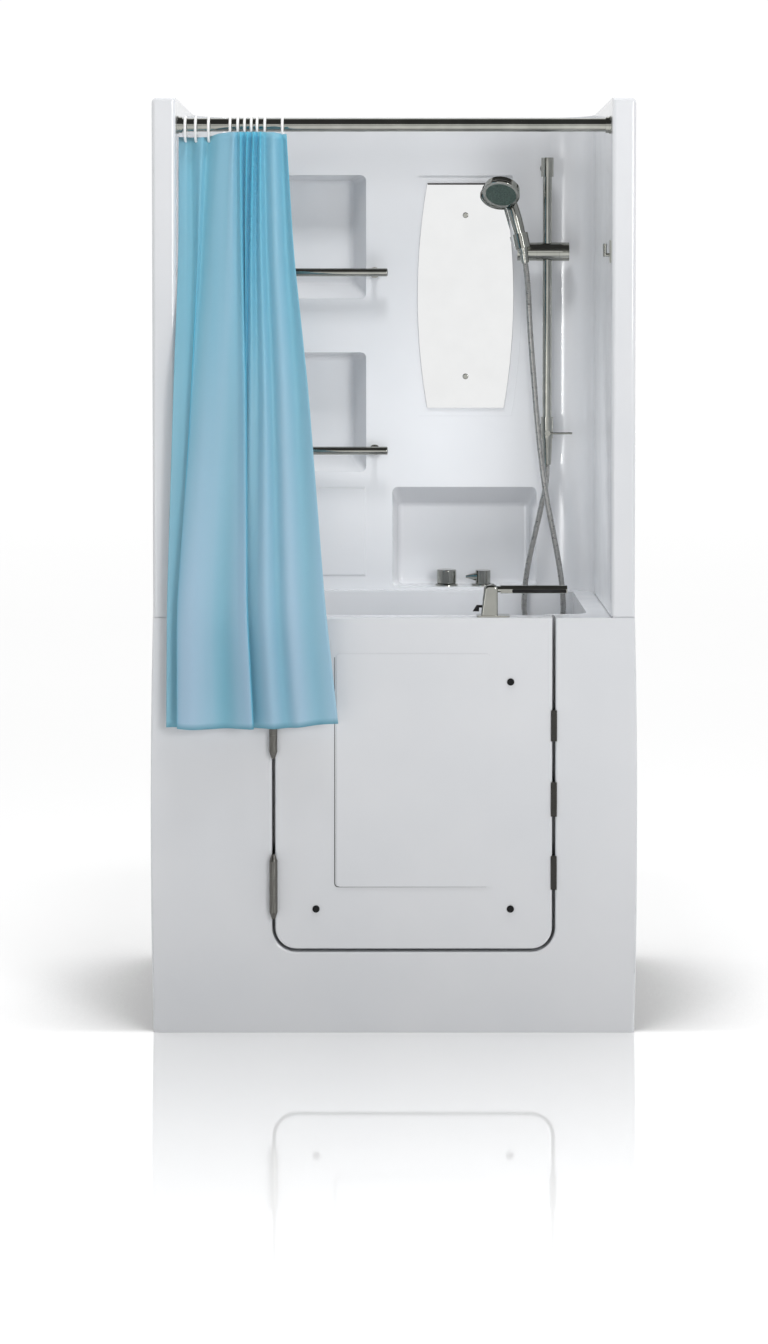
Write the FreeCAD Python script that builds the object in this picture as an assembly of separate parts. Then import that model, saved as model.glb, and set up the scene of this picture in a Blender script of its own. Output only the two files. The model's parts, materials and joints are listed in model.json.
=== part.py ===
"""Walk-in sit-in bathtub with a door in its apron and a shower surround above the rim.

The origin is on the floor, under the middle of the whole unit. X runs to the right as seen from the
front, Y runs back from the front, and Z is up. Depths are written as distances behind the apron's face.
"""
import FreeCAD
import Part
import math
import os

V = FreeCAD.Vector

# Overall sizes, in millimetres
surround_width = 1074.0
depth = 720.0
rim_height = 930.0
surround_height = 1155.0
curtain_reach = 60.0
sheet = 6.0
overrun = 20.0
touch = 0.3
hole_slack = 0.25
running_slack = 0.05

# Apron and side skirts
apron_thickness = 8.0
skirt_bulge = 6.0
skirt_foot_spread = 1.0
skirt_bulge_share = 0.6
apron_fillet = 5.0

# Doorway, its frame and the door
doorway_left_margin = 265.0
doorway_right_margin = 177.0
doorway_bottom = 181.0
doorway_corner = 54.0
door_gap = 7.0
door_thickness = 55.0
door_split = 28.0
door_skin = 5.0
door_fillet = 4.0
jamb_wall = 6.0
stop_lip = 19.0
stop_thickness = 6.0
seal_thickness = 6.7
seal_width = 11.0
panel_left_inset = 144.0
panel_right_inset = 146.0
panel_bottom_inset = 147.0
panel_top_inset = 80.0
panel_rise = 2.0
panel_corner = 8.0
bolt_left_inset = 98.0
bolt_right_inset = 100.0
bolt_low_inset = 97.0
bolt_high_inset = 143.0
bolt_cap_radius = 8.0
bolt_cap_height = 4.0
bolt_radius = 4.0

# Door hinges and bumpers
hinge_low_inset = 92.0
hinge_high_inset = 298.0
hinge_height = 115.0
knuckle_radius = 9.0
knuckle_stand_off = 1.5
knuckle_relief = 0.6
leaf_thickness = 2.4
leaf_reach = 40.0
hinge_pin_radius = 3.5
hinge_finial = 15.0
hinge_finial_tip = 4.0
bumper_span_shares = ((0.188, 0.288), (0.407, 0.509), (0.632, 0.724))
bumper_lap = 3.0
bumper_thickness = 3.0
bumper_stem_depth = 20.0
bumper_stem_width = 4.5

# Latch on top of the door
latch_inset = 146.0
latch_height = 61.0
latch_plate_left_reach = 29.0
latch_plate_right_reach = 44.0
latch_plate_depth = 40.0
latch_plate_thickness = 4.0
latch_plate_corner = 6.0
tower_left_reach = 20.0
tower_right_reach = 18.0
tower_width = 28.0
tower_shoulder = 9.0
tower_fillet = 5.0
tower_slot_floor = 36.0
eye_radius = 10.0
eye_width = 14.4
lever_neck_radius = 7.0
lever_neck_length = 24.0
lever_length = 173.0
lever_height = 17.0
lever_width = 15.0
lever_slope = 7.0
lever_corner = 2.0
latch_pin_radius = 4.0
latch_pin_head_radius = 6.0
latch_pin_head = 1.5
tab_length = 14.0
tab_width = 10.0
tab_low = 8.0
tab_height = 22.0
tab_travel = 3.5
tab_stem_radius = 3.0
tab_stem_length = 12.0

# Basin
rim_thickness = 12.0
side_deck = 48.0
back_deck = 35.0
basin_draft = 18.0
basin_fillet = 40.0
footwell_floor = 165.0
floor_corner = 55.0
seat_height = 560.0
seat_corner = 60.0
seat_nose = 45.0
seat_front = -56.0
seat_riser_lean = 12.0

# Support frame and levelling feet
tube_side = 30.0
tube_wall = 2.0
rail_end_inset = 37.0
rail_front = 130.0
rail_back_inset = 180.0
cross_rail_inset = 52.0
cross_rail_middle = 60.0
seat_post_outer_inset = 51.0
seat_post_inner_inset = 69.0
foot_inset = 97.0
foot_middle = 20.0
pad_radius = 25.0
pad_height = 12.0
stud_radius = 6.0
foot_nut_across = 19.0
foot_nut_height = 10.0
stud_end = 8.0

# Upper surround
wall_return = 53.0
wall_edge_fillet = 9.0
wall_crown_fillet = 12.0
seam_height = 3.0
seam_depth = 3.5
corner_radius = 100.0
niche_depth = 85.0
niche_clearance = 4.0
niche_fillet = 14.0
niche_corner_gap = 14.0
niche_right_share = -0.1405
niche_side_slope = 33.0
niche_floor_slope = 39.0
niche_top_slope = 11.0
upper_niche_rises = (713.0, 1015.0)
lower_niche_rises = (289.0, 582.0)
tap_niche_left_share = -0.0083
tap_niche_corner_gap = 34.0
tap_niche_rise = 252.0
tap_niche_side_slope = 16.0
tap_niche_top_slope = 47.0
wall_panel_rises = (32.0, 252.0)
wall_panel_proud = 3.0
wall_panel_bevel = 5.0

# Mirror and shelf rails
mirror_place_share = 0.3616
mirror_rises = (446.0, 994.0)
mirror_end_share = 0.1932
mirror_middle_share = 0.2417
mirror_thickness = 4.0
mirror_margin = 20.0
mirror_recess = 3.0
mirror_screw_inset = 77.0
mirror_screw_radius = 2.5
mirror_screw_head_radius = 7.0
mirror_screw_head = 3.0
mirror_screw_dome_share = 0.6
rail_radius = 10.0
rail_stand_off = 45.0
rail_corner_lap = 16.0
rail_right_share = -0.031
rail_rises = (777.0, 343.0)
rail_post_inset = 32.0
rail_post_radius = 6.0
rail_post_rose_radius = 13.0
rail_post_rose = 4.0

# Curtain rod, rings, curtain and tie-back hook
rod_rise = 1097.0
rod_setback = 45.0
rod_radius = 15.0
rod_flange_radius = 20.0
rod_flange_thickness = 5.0
rod_collar_radius = 18.0
rod_collar_length = 8.0
ring_radius = 25.0
ring_thickness = 5.0
ring_width = 6.0
ring_wall_gaps = (20.0, 43.0, 72.0, 120.0, 137.0, 152.0, 167.0, 180.0, 197.0, 236.0)
curtain_top_gaps = (4.0, 248.0)
curtain_mid_gaps = (5.0, 264.0)
curtain_mid_rise = 810.0
curtain_mid_setback = 18.0
curtain_out_gaps = (-3.0, 297.0)
curtain_out_rise = 510.0
curtain_low_gaps = (-19.0, 332.0)
curtain_low_rise = 30.0
curtain_hem_gaps = (-22.0, 360.0)
curtain_hem_drop = 246.0
curtain_thickness = 4.0
curtain_top_swing = 7.0
curtain_mid_swing = 9.0
curtain_out_swing = 11.0
curtain_hem_swing = 14.0
curtain_lean = 3.0
fold_width_shares = (0.11, 0.09, 0.08, 0.10, 0.12, 0.09, 0.11, 0.08, 0.12, 0.10)
hook_rise = 815.0
hook_height = 50.0
hook_width = 18.0
hook_plate = 3.0
hook_setback = 40.0
hook_peg_radius = 4.0
hook_peg_length = 10.0

# Slide bar, brackets and shut-off lever
bar_wall_gap = 112.0
bar_stand_off = 55.0
bar_radius = 11.0
bar_rises = (405.0, 1050.0)
barrel_radius = 15.0
upper_barrel_rises = (1008.0, 1054.0)
lower_barrel_rises = (374.0, 426.0)
bracket_neck_radius = 10.0
bracket_rose_radius = 14.5
bracket_rose = 5.0
spigot_radius = 9.0
spigot_length = 15.0
bracket_nut_across = 30.0
bracket_nut_height = 6.0
outlet_nut_top_radius = 13.0
outlet_nut_bottom_radius = 10.0
outlet_nut_length = 64.0
shutoff_rise = 387.0
shutoff_boss_radius = 7.0
shutoff_boss_length = 8.0
shutoff_stem_radius = 4.0
shutoff_hub_length = 8.0
shutoff_arm_radius = 2.5
shutoff_arm_length = 60.0

# Slider, holder and hand shower, whose points are measured from the slider's middle
slider_rise = 827.0
clamp_radius = 22.5
clamp_left_reach = 26.0
clamp_right_reach = 28.0
clamp_stub_radius = 8.0
clamp_stub_length = 14.0
clamp_knob_length = 24.0
clamp_knob_stem_radius = 5.0
clamp_knob_stem_length = 6.0
clamp_knob_flute_radius = 4.0
clamp_knob_flutes = 8
holder_radius = 22.0
holder_reach = 73.0
socket_radius = 19.0
socket_height = 36.0
handle_foot = (-58.0, -26.0, -6.0)
handle_bend = (-66.0, -23.0, 48.0)
handle_head = (-93.0, -18.5, 130.0)
handle_radii = (10.5, 12.0, 14.0, 15.0, 13.5)
handle_station_shares = (0.0, 0.25, 0.5, 0.75, 1.0)
holder_place_share = 0.27
face_centre = (-114.5, -52.5, 135.0)
face_normal = (-0.17, -0.64, -0.75)
face_radius = 37.0
face_thickness = 4.0
ring_outer_radius = 45.0
spray_ring_depth = 8.0
head_radius = 43.0
head_depth = 12.0
dome_top_radius = 22.0
dome_depth = 10.0
spigot_head_radius = 34.0
handset_nut_length = 22.0
handset_nut_end_radius = 9.0

# Hose: outside radius and route, as points measured from the bar's line at the rim's height
hose_radius = 7.0
hose_route = (
    (-44.0, -30.0, 645.0),
    (-34.0, -33.0, 520.0),
    (-25.0, -35.0, 405.0),
    (-14.0, -36.0, 305.0),
    (-1.0, -37.0, 220.0),
    (15.0, -38.0, 140.0),
    (29.0, -38.0, 65.0),
    (38.0, -37.0, -5.0),
    (38.5, -32.0, -65.0),
    (11.0, -24.5, -93.0),
    (-28.0, -16.0, -93.0),
    (-55.5, -8.0, -65.0),
    (-55.5, -2.0, -5.0),
    (-46.0, 1.0, 65.0),
    (-31.0, 2.0, 130.0),
    (-16.0, 2.0, 195.0),
)
hose_exit_run = 45.0
hose_split_run = 1
hose_split_share = 0.5
hose_bend_share = 0.45

# Taps and pipework
tap_setback = 44.0
diverter_bar_gap = 242.0
mixer_bar_gap = 152.0
valve_drop = 70.0
valve_radius = 18.0
valve_left_reach = 47.0
valve_right_reach = 90.0
inlet_radius = 10.5
inlet_length = 38.0
inlet_collar_radius = 15.0
inlet_collar = 3.0
hot_inlet_reach = 27.0
cold_inlet_reach = 50.0
tap_neck_radius = 13.0
tap_rose_radius = 28.0
tap_rose = 4.0
tap_stem_radius = 6.0
tap_stem_height = 24.0
diverter_radius = 24.0
diverter_height = 35.0
diverter_fillet = 3.0
mixer_radius = 18.5
mixer_height = 33.0
nose_reach = 43.0
nose_radius = 15.0
nose_tip_radius = 3.0
nose_height = 17.0
riser_radius = 9.0
riser_bore = 7.5
riser_bend = 16.0

# Drain, trap and overflow
drain_x = 150.0
drain_flange_radius = 34.0
drain_flange_thickness = 3.0
drain_collar_radius = 22.0
drain_bore = 18.0
drain_collar_bottom = 120.0
plug_radius = 29.0
plug_thickness = 5.0
plug_stem_radius = 4.0
plug_stem_length = 40.0
trap_radius = 30.0
trap_bottom = 36.0
waste_z = 62.0
waste_pipe_radius = 21.5
waste_spigot_radius = 20.0
waste_spigot_length = 40.0
waste_bore = 17.0
waste_end_inset = 20.0
tee_gap = 50.0
tee_top = 112.0
tee_radius = 20.0
overflow_drop = 108.0
overflow_plate_radius = 36.0
overflow_plate_thickness = 6.0
overflow_boss_radius = 15.0
overflow_boss_length = 10.0
overflow_knob_radius = 26.0
overflow_knob_depth = 17.0
overflow_spindle_radius = 5.0
overflow_pipe_radius = 15.0
overflow_pipe_bore = 12.5
overflow_bend = 24.0

# Places worked out from the sizes above
front_y = (curtain_reach - depth) / 2.0
half_width = surround_width / 2.0
rim_half = half_width - sheet
wall_inner = half_width - wall_return
wall_flat = wall_inner - corner_radius
surround_top = rim_height + surround_height
back_face = depth - niche_depth - sheet - niche_clearance
doorway_left = doorway_left_margin - half_width
doorway_right = half_width - doorway_right_margin
doorway_height = rim_height - doorway_bottom
hinge_lows = (doorway_bottom + hinge_low_inset, rim_height - hinge_high_inset)
latch_x = doorway_right - latch_inset
tower_left = latch_x - tower_left_reach
tower_right = latch_x + tower_right_reach
door_left = doorway_left + door_gap
door_right = doorway_right - door_gap
door_middle = door_thickness / 2.0
hinge_x = doorway_left + door_gap / 2.0
hinge_d = -(knuckle_radius + knuckle_stand_off)
stop_front = door_thickness + seal_thickness + touch
jamb_back = stop_front + stop_thickness
basin_front = jamb_back + sheet
basin_back = back_face - back_deck
basin_half = wall_inner - side_deck
rim_under = rim_height - rim_thickness
floor_under = footwell_floor - sheet
frame_low = floor_under - tube_side
rail_back = depth - rail_back_inset
foot_places = (foot_inset - half_width, foot_middle, half_width - foot_inset)
bar_x = wall_inner - bar_wall_gap
bar_d_place = back_face - bar_stand_off
bar_low = rim_height + bar_rises[0]
bar_high = rim_height + bar_rises[1]
upper_barrel = (rim_height + upper_barrel_rises[0], rim_height + upper_barrel_rises[1])
lower_barrel = (rim_height + lower_barrel_rises[0], rim_height + lower_barrel_rises[1])
shutoff_z = rim_height + shutoff_rise
slider_z = rim_height + slider_rise
clamp_left = bar_x - clamp_left_reach
clamp_right = bar_x + clamp_right_reach
rail_d = back_face - rail_stand_off
tap_d = back_face + tap_setback - sheet / 2.0
niche_floor_z = rim_height + sheet
niche_left = niche_corner_gap - wall_flat
niche_right = niche_right_share * wall_inner
mirror_x = mirror_place_share * wall_inner
mirror_low = rim_height + mirror_rises[0]
mirror_high = rim_height + mirror_rises[1]
rail_left = -wall_flat - rail_corner_lap
rail_right = rail_right_share * wall_inner
rail_heights = [rim_height + rise for rise in rail_rises]
rod_z = rim_height + rod_rise
diverter_x = bar_x - diverter_bar_gap
mixer_x = bar_x - mixer_bar_gap
valve_z = rim_height - valve_drop
valve_right = mixer_x + valve_right_reach
drain_setback = (basin_front + basin_back) / 2.0
waste_end = depth - waste_end_inset
tee_setback = basin_back + tee_gap
overflow_z = rim_height - overflow_drop
latch_z = rim_height + latch_height
tower_foot = rim_height + latch_plate_thickness
wall_back = back_face - corner_radius

along_x = V(1, 0, 0)
along_d = V(0, 1, 0)
up = V(0, 0, 1)


def at(x, d, z):
    """A point across, behind the apron's face, and up."""
    return V(x, front_y + d, z)


def block(x, d, z):
    """A box from three (low, high) pairs."""
    return Part.makeBox(x[1] - x[0], d[1] - d[0], z[1] - z[0], at(x[0], d[0], z[0]))


def bar_along_x(radius, x, d, z):
    return Part.makeCylinder(radius, x[1] - x[0], at(x[0], d, z), along_x)


def bar_along_d(radius, x, d, z):
    return Part.makeCylinder(radius, d[1] - d[0], at(x, d[0], z), along_d)


def bar_along_z(radius, x, d, z):
    return Part.makeCylinder(radius, z[1] - z[0], at(x, d, z[0]), up)


def joined(first, *others):
    return first.fuse(list(others)).removeSplitter()


def cut_by(solid, *tools):
    for tool in tools:
        solid = solid.cut(tool)
    return solid


def rounded_wire(corners, radii):
    """A closed wire through the corners, each rounded to its radius, or sharp where that is 0."""
    arrive, leave, arcs = [], [], []
    for place, radius in enumerate(radii):
        here = corners[place]
        back = (corners[place - 1] - here).normalize()
        ahead = (corners[(place + 1) % len(corners)] - here).normalize()
        half_angle = back.getAngle(ahead) / 2.0
        reach = radius / math.tan(half_angle)
        arrive.append(here + back * reach)
        leave.append(here + ahead * reach)
        inward = (back + ahead).normalize()
        arcs.append(here + inward * (radius / math.sin(half_angle) - radius))
    edges = []
    for place, radius in enumerate(radii):
        if radius > 0:
            edges.append(Part.Arc(arrive[place], arcs[place], leave[place]).toShape())
        edges.append(Part.LineSegment(leave[place], arrive[(place + 1) % len(corners)]).toShape())
    return Part.Wire(edges)


def prism_d(corners, radii, d):
    """A rounded outline of (across, up) corners, extruded back between two depths."""
    wire = rounded_wire([at(x, d[0], z) for x, z in corners], radii)
    return Part.Face(wire).extrude(along_d * (d[1] - d[0]))


def prism_z(corners, radii, z):
    """A rounded outline of (across, depth) corners, extruded up between two heights."""
    wire = rounded_wire([at(x, d, z[0]) for x, d in corners], radii)
    return Part.Face(wire).extrude(up * (z[1] - z[0]))


def prism_x(corners, radii, x):
    """A rounded outline of (depth, up) corners, extruded to the right between two places."""
    wire = rounded_wire([at(x[0], d, z) for d, z in corners], radii)
    return Part.Face(wire).extrude(along_x * (x[1] - x[0]))


def hexagon(across, centre, direction, height):
    """A hexagonal nut blank about a centre."""
    side = direction.cross(V(1, 1, 1)).normalize() * (across / math.sqrt(3))
    turn = FreeCAD.Rotation(direction, 360 / 6)
    corners = [side]
    for _ in range(5):
        corners.append(turn.multVec(corners[-1]))
    wire = Part.makePolygon([centre + corner for corner in corners + corners[:1]])
    return Part.Face(wire).extrude(direction * height)


def bent_path(points, bends):
    """Straight runs joined by tangent arcs, one radius for each inner point."""
    edges = []
    start = points[0]
    for place, radius in enumerate(bends, 1):
        here = points[place]
        back = (points[place - 1] - here).normalize()
        ahead = (points[place + 1] - here).normalize()
        half_angle = back.getAngle(ahead) / 2.0
        reach = radius / math.tan(half_angle)
        inward = (back + ahead).normalize()
        middle = here + inward * (radius / math.sin(half_angle) - radius)
        edges.append(Part.LineSegment(start, here + back * reach).toShape())
        edges.append(Part.Arc(here + back * reach, middle, here + ahead * reach).toShape())
        start = here + ahead * reach
    edges.append(Part.LineSegment(start, points[-1]).toShape())
    return Part.Wire(edges)


def swept(path, points, radius):
    """A round bar along a path of points."""
    ring = Part.Wire(Part.Circle(points[0], points[1] - points[0], radius).toShape())
    return path.makePipeShell([ring], True, False)


def bent_tube(points, bend, radius, bore):
    """A pipe with the same bend at each inner point."""
    path = bent_path(points, [bend] * (len(points) - 2))
    return swept(path, points, radius).cut(swept(path, points, bore))


# Apron and skirts
def skirt_edge(side, inset, d):
    """The bowed outline of one side, from the rim down to the floor."""
    top = at(side * (half_width - inset), d, rim_height)
    middle = at(side * (half_width + skirt_bulge - inset), d, rim_height * skirt_bulge_share)
    foot = at(side * (half_width + skirt_foot_spread - inset), d, 0)
    return top, Part.Arc(top, middle, foot).toShape(), foot


def plate_between(first, second, thickness):
    """A plate whose outline is two edges, each (top, edge, foot), and the lines that join them."""
    lower = Part.LineSegment(first[2], second[2]).toShape()
    upper = Part.LineSegment(second[0], first[0]).toShape()
    outline = Part.Wire([first[1], lower, second[1], upper])
    return Part.Face(outline).extrude(along_d * thickness)


def doorway_prism(grow, top, d):
    """The doorway's U outline, grown or shrunk all round, between two depths."""
    left = doorway_left - grow
    right = doorway_right + grow
    bottom = doorway_bottom - grow
    corner = doorway_corner + grow
    return prism_d([(left, top), (left, bottom), (right, bottom), (right, top)], [0, corner, corner, 0], d)


def make_front_apron():
    plate = plate_between(skirt_edge(-1, 0, 0), skirt_edge(1, 0, 0), apron_thickness)
    plate = plate.cut(doorway_prism(0, rim_height + overrun, (-overrun, apron_thickness + overrun)))
    edges = []
    for edge in plate.Edges:
        box = edge.BoundBox
        level = box.ZLength < touch and (box.ZMin < touch or box.ZMax > rim_height - touch)
        if box.YMax < front_y + touch and not level:
            edges.append(edge)
    return plate.makeFillet(apron_fillet, edges)


def make_skirt(side):
    outer = skirt_edge(side, 0, apron_thickness)
    inner = skirt_edge(side, sheet, apron_thickness)
    return plate_between(outer, inner, depth - apron_thickness)


def make_door_jamb():
    frame = doorway_prism(jamb_wall, rim_height, (apron_thickness, jamb_back))
    above = rim_height + overrun
    return cut_by(
        frame,
        doorway_prism(0, above, (0, stop_front)),
        doorway_prism(-stop_lip, above, (0, jamb_back + overrun)),
    )


# Basin
def basin_side(z):
    """Half the basin's width at a height."""
    return basin_half - basin_draft * (rim_height - z) / (rim_height - footwell_floor)


def basin_prism(grow, top, d):
    """The basin's section, with the seat on the left, grown all round, between two depths."""
    edge = basin_side(top) + grow
    seat = seat_height - grow
    floor = footwell_floor - grow
    corners = [
        (-edge, top),
        (-basin_side(seat_height) - grow, seat),
        (seat_front - grow, seat),
        (seat_front + seat_riser_lean - grow, floor),
        (basin_side(footwell_floor) + grow, floor),
        (edge, top),
    ]
    radii = [0, seat_corner + grow, seat_nose - grow, floor_corner + grow, floor_corner + grow, 0]
    return prism_d(corners, radii, d)


def basin_cavity():
    """The hollow of the basin, with its upright and floor edges rounded at front and back."""
    cavity = basin_prism(0, rim_height + overrun, (basin_front, basin_back))
    ends = (front_y + basin_front, front_y + basin_back)
    edges = []
    for edge in cavity.Edges:
        box = edge.BoundBox
        flat = box.YLength < touch and any(abs(box.YMin - end) < touch for end in ends)
        if flat and box.ZMin < rim_height:
            edges.append(edge)
    return cavity.makeFillet(basin_fillet, edges)


def make_tub_shell():
    above = rim_height + overrun
    rim = block((-rim_half, rim_half), (apron_thickness, depth), (rim_under, rim_height))
    outer = basin_prism(sheet, rim_height, (jamb_back, basin_back + sheet))
    half_front = basin_side(rim_height)
    front = block((-half_front, half_front), (jamb_back, basin_front), (floor_under, rim_height))
    way_depths = (jamb_back - overrun, basin_front + basin_fillet)
    way_in = doorway_prism(-stop_lip, above, way_depths).common(basin_prism(0, above, way_depths))
    notch = doorway_prism(jamb_wall, above, (0, jamb_back))
    floor_hole = bar_along_z(
        drain_collar_radius + hole_slack, drain_x, drain_setback, (floor_under - overrun, above)
    )
    back_hole = bar_along_d(
        overflow_boss_radius + hole_slack, drain_x, (basin_back - overrun, depth), overflow_z
    )
    tap_holes = [
        bar_along_z(tap_neck_radius + hole_slack, x, tap_d, (rim_under - overrun, above))
        for x in (diverter_x, mixer_x)
    ]
    riser_hole = bar_along_z(riser_radius + hole_slack, bar_x, tap_d, (rim_under - overrun, above))
    shell = joined(rim, outer, front)
    return cut_by(shell, basin_cavity(), way_in, notch, floor_hole, back_hole, *tap_holes, riser_hole)


# Support frame and feet
def square_tube(x, d, z, along):
    """An open-ended square tube in a box, with its bore along one direction."""
    spans = [x, d, z]
    bore = [
        (low - overrun, high + overrun) if place == along else (low + tube_wall, high - tube_wall)
        for place, (low, high) in enumerate(spans)
    ]
    return block(*spans).cut(block(*bore))


def tube_span(centre):
    return (centre - tube_side / 2.0, centre + tube_side / 2.0)


def foot_holes():
    return [
        bar_along_z(stud_radius + hole_slack, x, d, (frame_low - overrun, floor_under + overrun))
        for x in foot_places
        for d in (rail_front, rail_back)
    ]


def make_base_frame():
    """Two long rails that carry the feet, and the cross rails between them."""
    rails = []
    rail_end = half_width - rail_end_inset
    cross_end = half_width - cross_rail_inset
    for d in (rail_front, rail_back):
        rail = square_tube((-rail_end, rail_end), tube_span(d), (frame_low, floor_under), 0)
        rails.append(cut_by(rail, *foot_holes()))
    between = (rail_front + tube_side / 2.0, rail_back - tube_side / 2.0)
    for x in (-cross_end, cross_rail_middle, cross_end):
        rails.append(square_tube(tube_span(x), between, (frame_low, floor_under), 1))
    return Part.makeCompound(rails)


def make_seat_frame():
    """Four posts on the base frame, and two bearers under the seat."""
    under_seat = seat_height - sheet
    post_top = under_seat - tube_side
    length = (rail_front - tube_side / 2.0, rail_back + tube_side / 2.0)
    tubes = []
    for x in (seat_post_outer_inset - basin_half, seat_front - seat_post_inner_inset):
        tubes.append(square_tube(tube_span(x), length, (post_top, under_seat), 1))
        for d in (rail_front, rail_back):
            tubes.append(square_tube(tube_span(x), tube_span(d), (floor_under, post_top), 2))
    return Part.makeCompound(tubes)


def each_foot(make):
    return Part.makeCompound([make(x, d) for x in foot_places for d in (rail_front, rail_back)])


def make_foot_pad(x, d):
    pad = bar_along_z(pad_radius, x, d, (0, pad_height))
    return pad.makeChamfer(pad_height / 3.0, [edge for edge in pad.Edges if edge.BoundBox.ZMin > touch])


def make_foot_stud(x, d):
    return bar_along_z(stud_radius, x, d, (pad_height, floor_under - stud_end))


def make_foot_nut(x, d):
    blank = hexagon(foot_nut_across, at(x, d, frame_low - foot_nut_height), up, foot_nut_height)
    bore = bar_along_z(stud_radius + running_slack, x, d, (frame_low - overrun, floor_under))
    return blank.cut(bore)


# Door
def make_door_outer_shell():
    pan = doorway_prism(-door_gap, rim_height, (0, door_split))
    pan = pan.makeFillet(door_fillet, [edge for edge in pan.Edges if edge.BoundBox.YMax < front_y + touch])
    hollow = doorway_prism(-door_gap - door_skin, rim_height - door_skin, (door_skin, door_split + overrun))
    panel_left = doorway_left + panel_left_inset
    panel_right = doorway_right - panel_right_inset
    panel_bottom = doorway_bottom + panel_bottom_inset
    panel_top = rim_height - panel_top_inset
    corners = [
        (panel_left, panel_bottom),
        (panel_right, panel_bottom),
        (panel_right, panel_top),
        (panel_left, panel_top),
    ]
    panel = prism_d(corners, [panel_corner] * len(corners), (-panel_rise, door_skin))
    return cut_by(joined(pan.cut(hollow), panel), *door_bolt_holes())


def make_door_inner_shell():
    pan = doorway_prism(-door_gap, rim_height, (door_split, door_thickness))
    inner_depths = (door_split - overrun, door_thickness - door_skin)
    hollow = doorway_prism(-door_gap - door_skin, rim_height - door_skin, inner_depths)
    return cut_by(pan.cut(hollow), *door_bolt_holes())


def bolt_places():
    sides = (doorway_left + bolt_left_inset, doorway_right - bolt_right_inset)
    heights = (doorway_bottom + bolt_low_inset, rim_height - bolt_high_inset)
    return [(x, z) for x in sides for z in heights]


def door_bolt_holes():
    reach = (-overrun, door_thickness + overrun)
    return [bar_along_d(bolt_radius + hole_slack, x, reach, z) for x, z in bolt_places()]


def make_door_bolts():
    bolts = []
    for x, z in bolt_places():
        cap = bar_along_d(bolt_cap_radius, x, (-bolt_cap_height, 0), z)
        rim = [edge for edge in cap.Edges if edge.BoundBox.YMax < front_y - touch]
        cap = cap.makeFillet(bolt_cap_height / 2.0, rim)
        shank = bar_along_d(bolt_radius, x, (-touch, door_thickness + touch), z)
        nut = bar_along_d(bolt_cap_radius, x, (door_thickness, door_thickness + bolt_cap_height), z)
        bolts.append(joined(cap, shank, nut))
    return Part.makeCompound(bolts)


def make_door_seal():
    strip_depths = (door_thickness, door_thickness + seal_thickness)
    strip = doorway_prism(-door_gap, rim_height, strip_depths)
    return strip.cut(doorway_prism(-door_gap - seal_width, rim_height + overrun, (0, jamb_back)))


def knuckle(low, high):
    return bar_along_z(knuckle_radius, hinge_x, hinge_d, (low, high))


def hinge_leaf(low, x, middle_knuckle):
    """One leaf of a hinge: the outer knuckles for the jamb, the middle one for the door."""
    third = hinge_height / 3.0
    ends = [(low, low + third), (low + 2.0 * third, low + hinge_height)]
    middle = (low + third + touch, low + 2.0 * third - touch)
    own = [middle] if middle_knuckle else ends
    other = ends if middle_knuckle else [middle]
    relief = knuckle_radius + knuckle_relief
    leaf = block(x, (hinge_d, leaf_reach), (low, low + hinge_height))
    room = [bar_along_z(relief, hinge_x, hinge_d, (a - touch, b + touch)) for a, b in other]
    bore_span = grown((low, low + hinge_height), overrun)
    bore = bar_along_z(hinge_pin_radius + running_slack, hinge_x, hinge_d, bore_span)
    return cut_by(joined(leaf, *[knuckle(a, b) for a, b in own]), *room, bore)


def make_hinge_jamb_leaves():
    x = (doorway_left, doorway_left + leaf_thickness)
    return Part.makeCompound([hinge_leaf(low, x, False) for low in hinge_lows])


def make_hinge_door_leaves():
    x = (door_left - leaf_thickness, door_left)
    return Part.makeCompound([hinge_leaf(low, x, True) for low in hinge_lows])


def make_hinge_pins():
    """A pin through each hinge, with a tapered finial at either end."""
    pins = []
    for low in hinge_lows:
        high = low + hinge_height
        pin = bar_along_z(hinge_pin_radius, hinge_x, hinge_d, (low, high))
        finials = [
            Part.makeCone(knuckle_radius, hinge_finial_tip, hinge_finial, at(hinge_x, hinge_d, z), away)
            for z, away in ((low, up * -1), (high, up))
        ]
        pins.append(joined(pin, *finials))
    return Part.makeCompound(pins)


def make_door_bumpers():
    bumpers = []
    for shares in bumper_span_shares:
        span = [doorway_bottom + share * doorway_height for share in shares]
        cap_x = (door_right - bumper_lap, doorway_right + bumper_lap)
        cap = block(cap_x, (-bumper_thickness - touch, -touch), span)
        stem = block((door_right, door_right + bumper_stem_width), (-touch, bumper_stem_depth), span)
        bumpers.append(joined(cap, stem))
    return Part.makeCompound(bumpers)


# Latch
def latch_depths(width):
    return (door_middle - width / 2.0, door_middle + width / 2.0)


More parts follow.
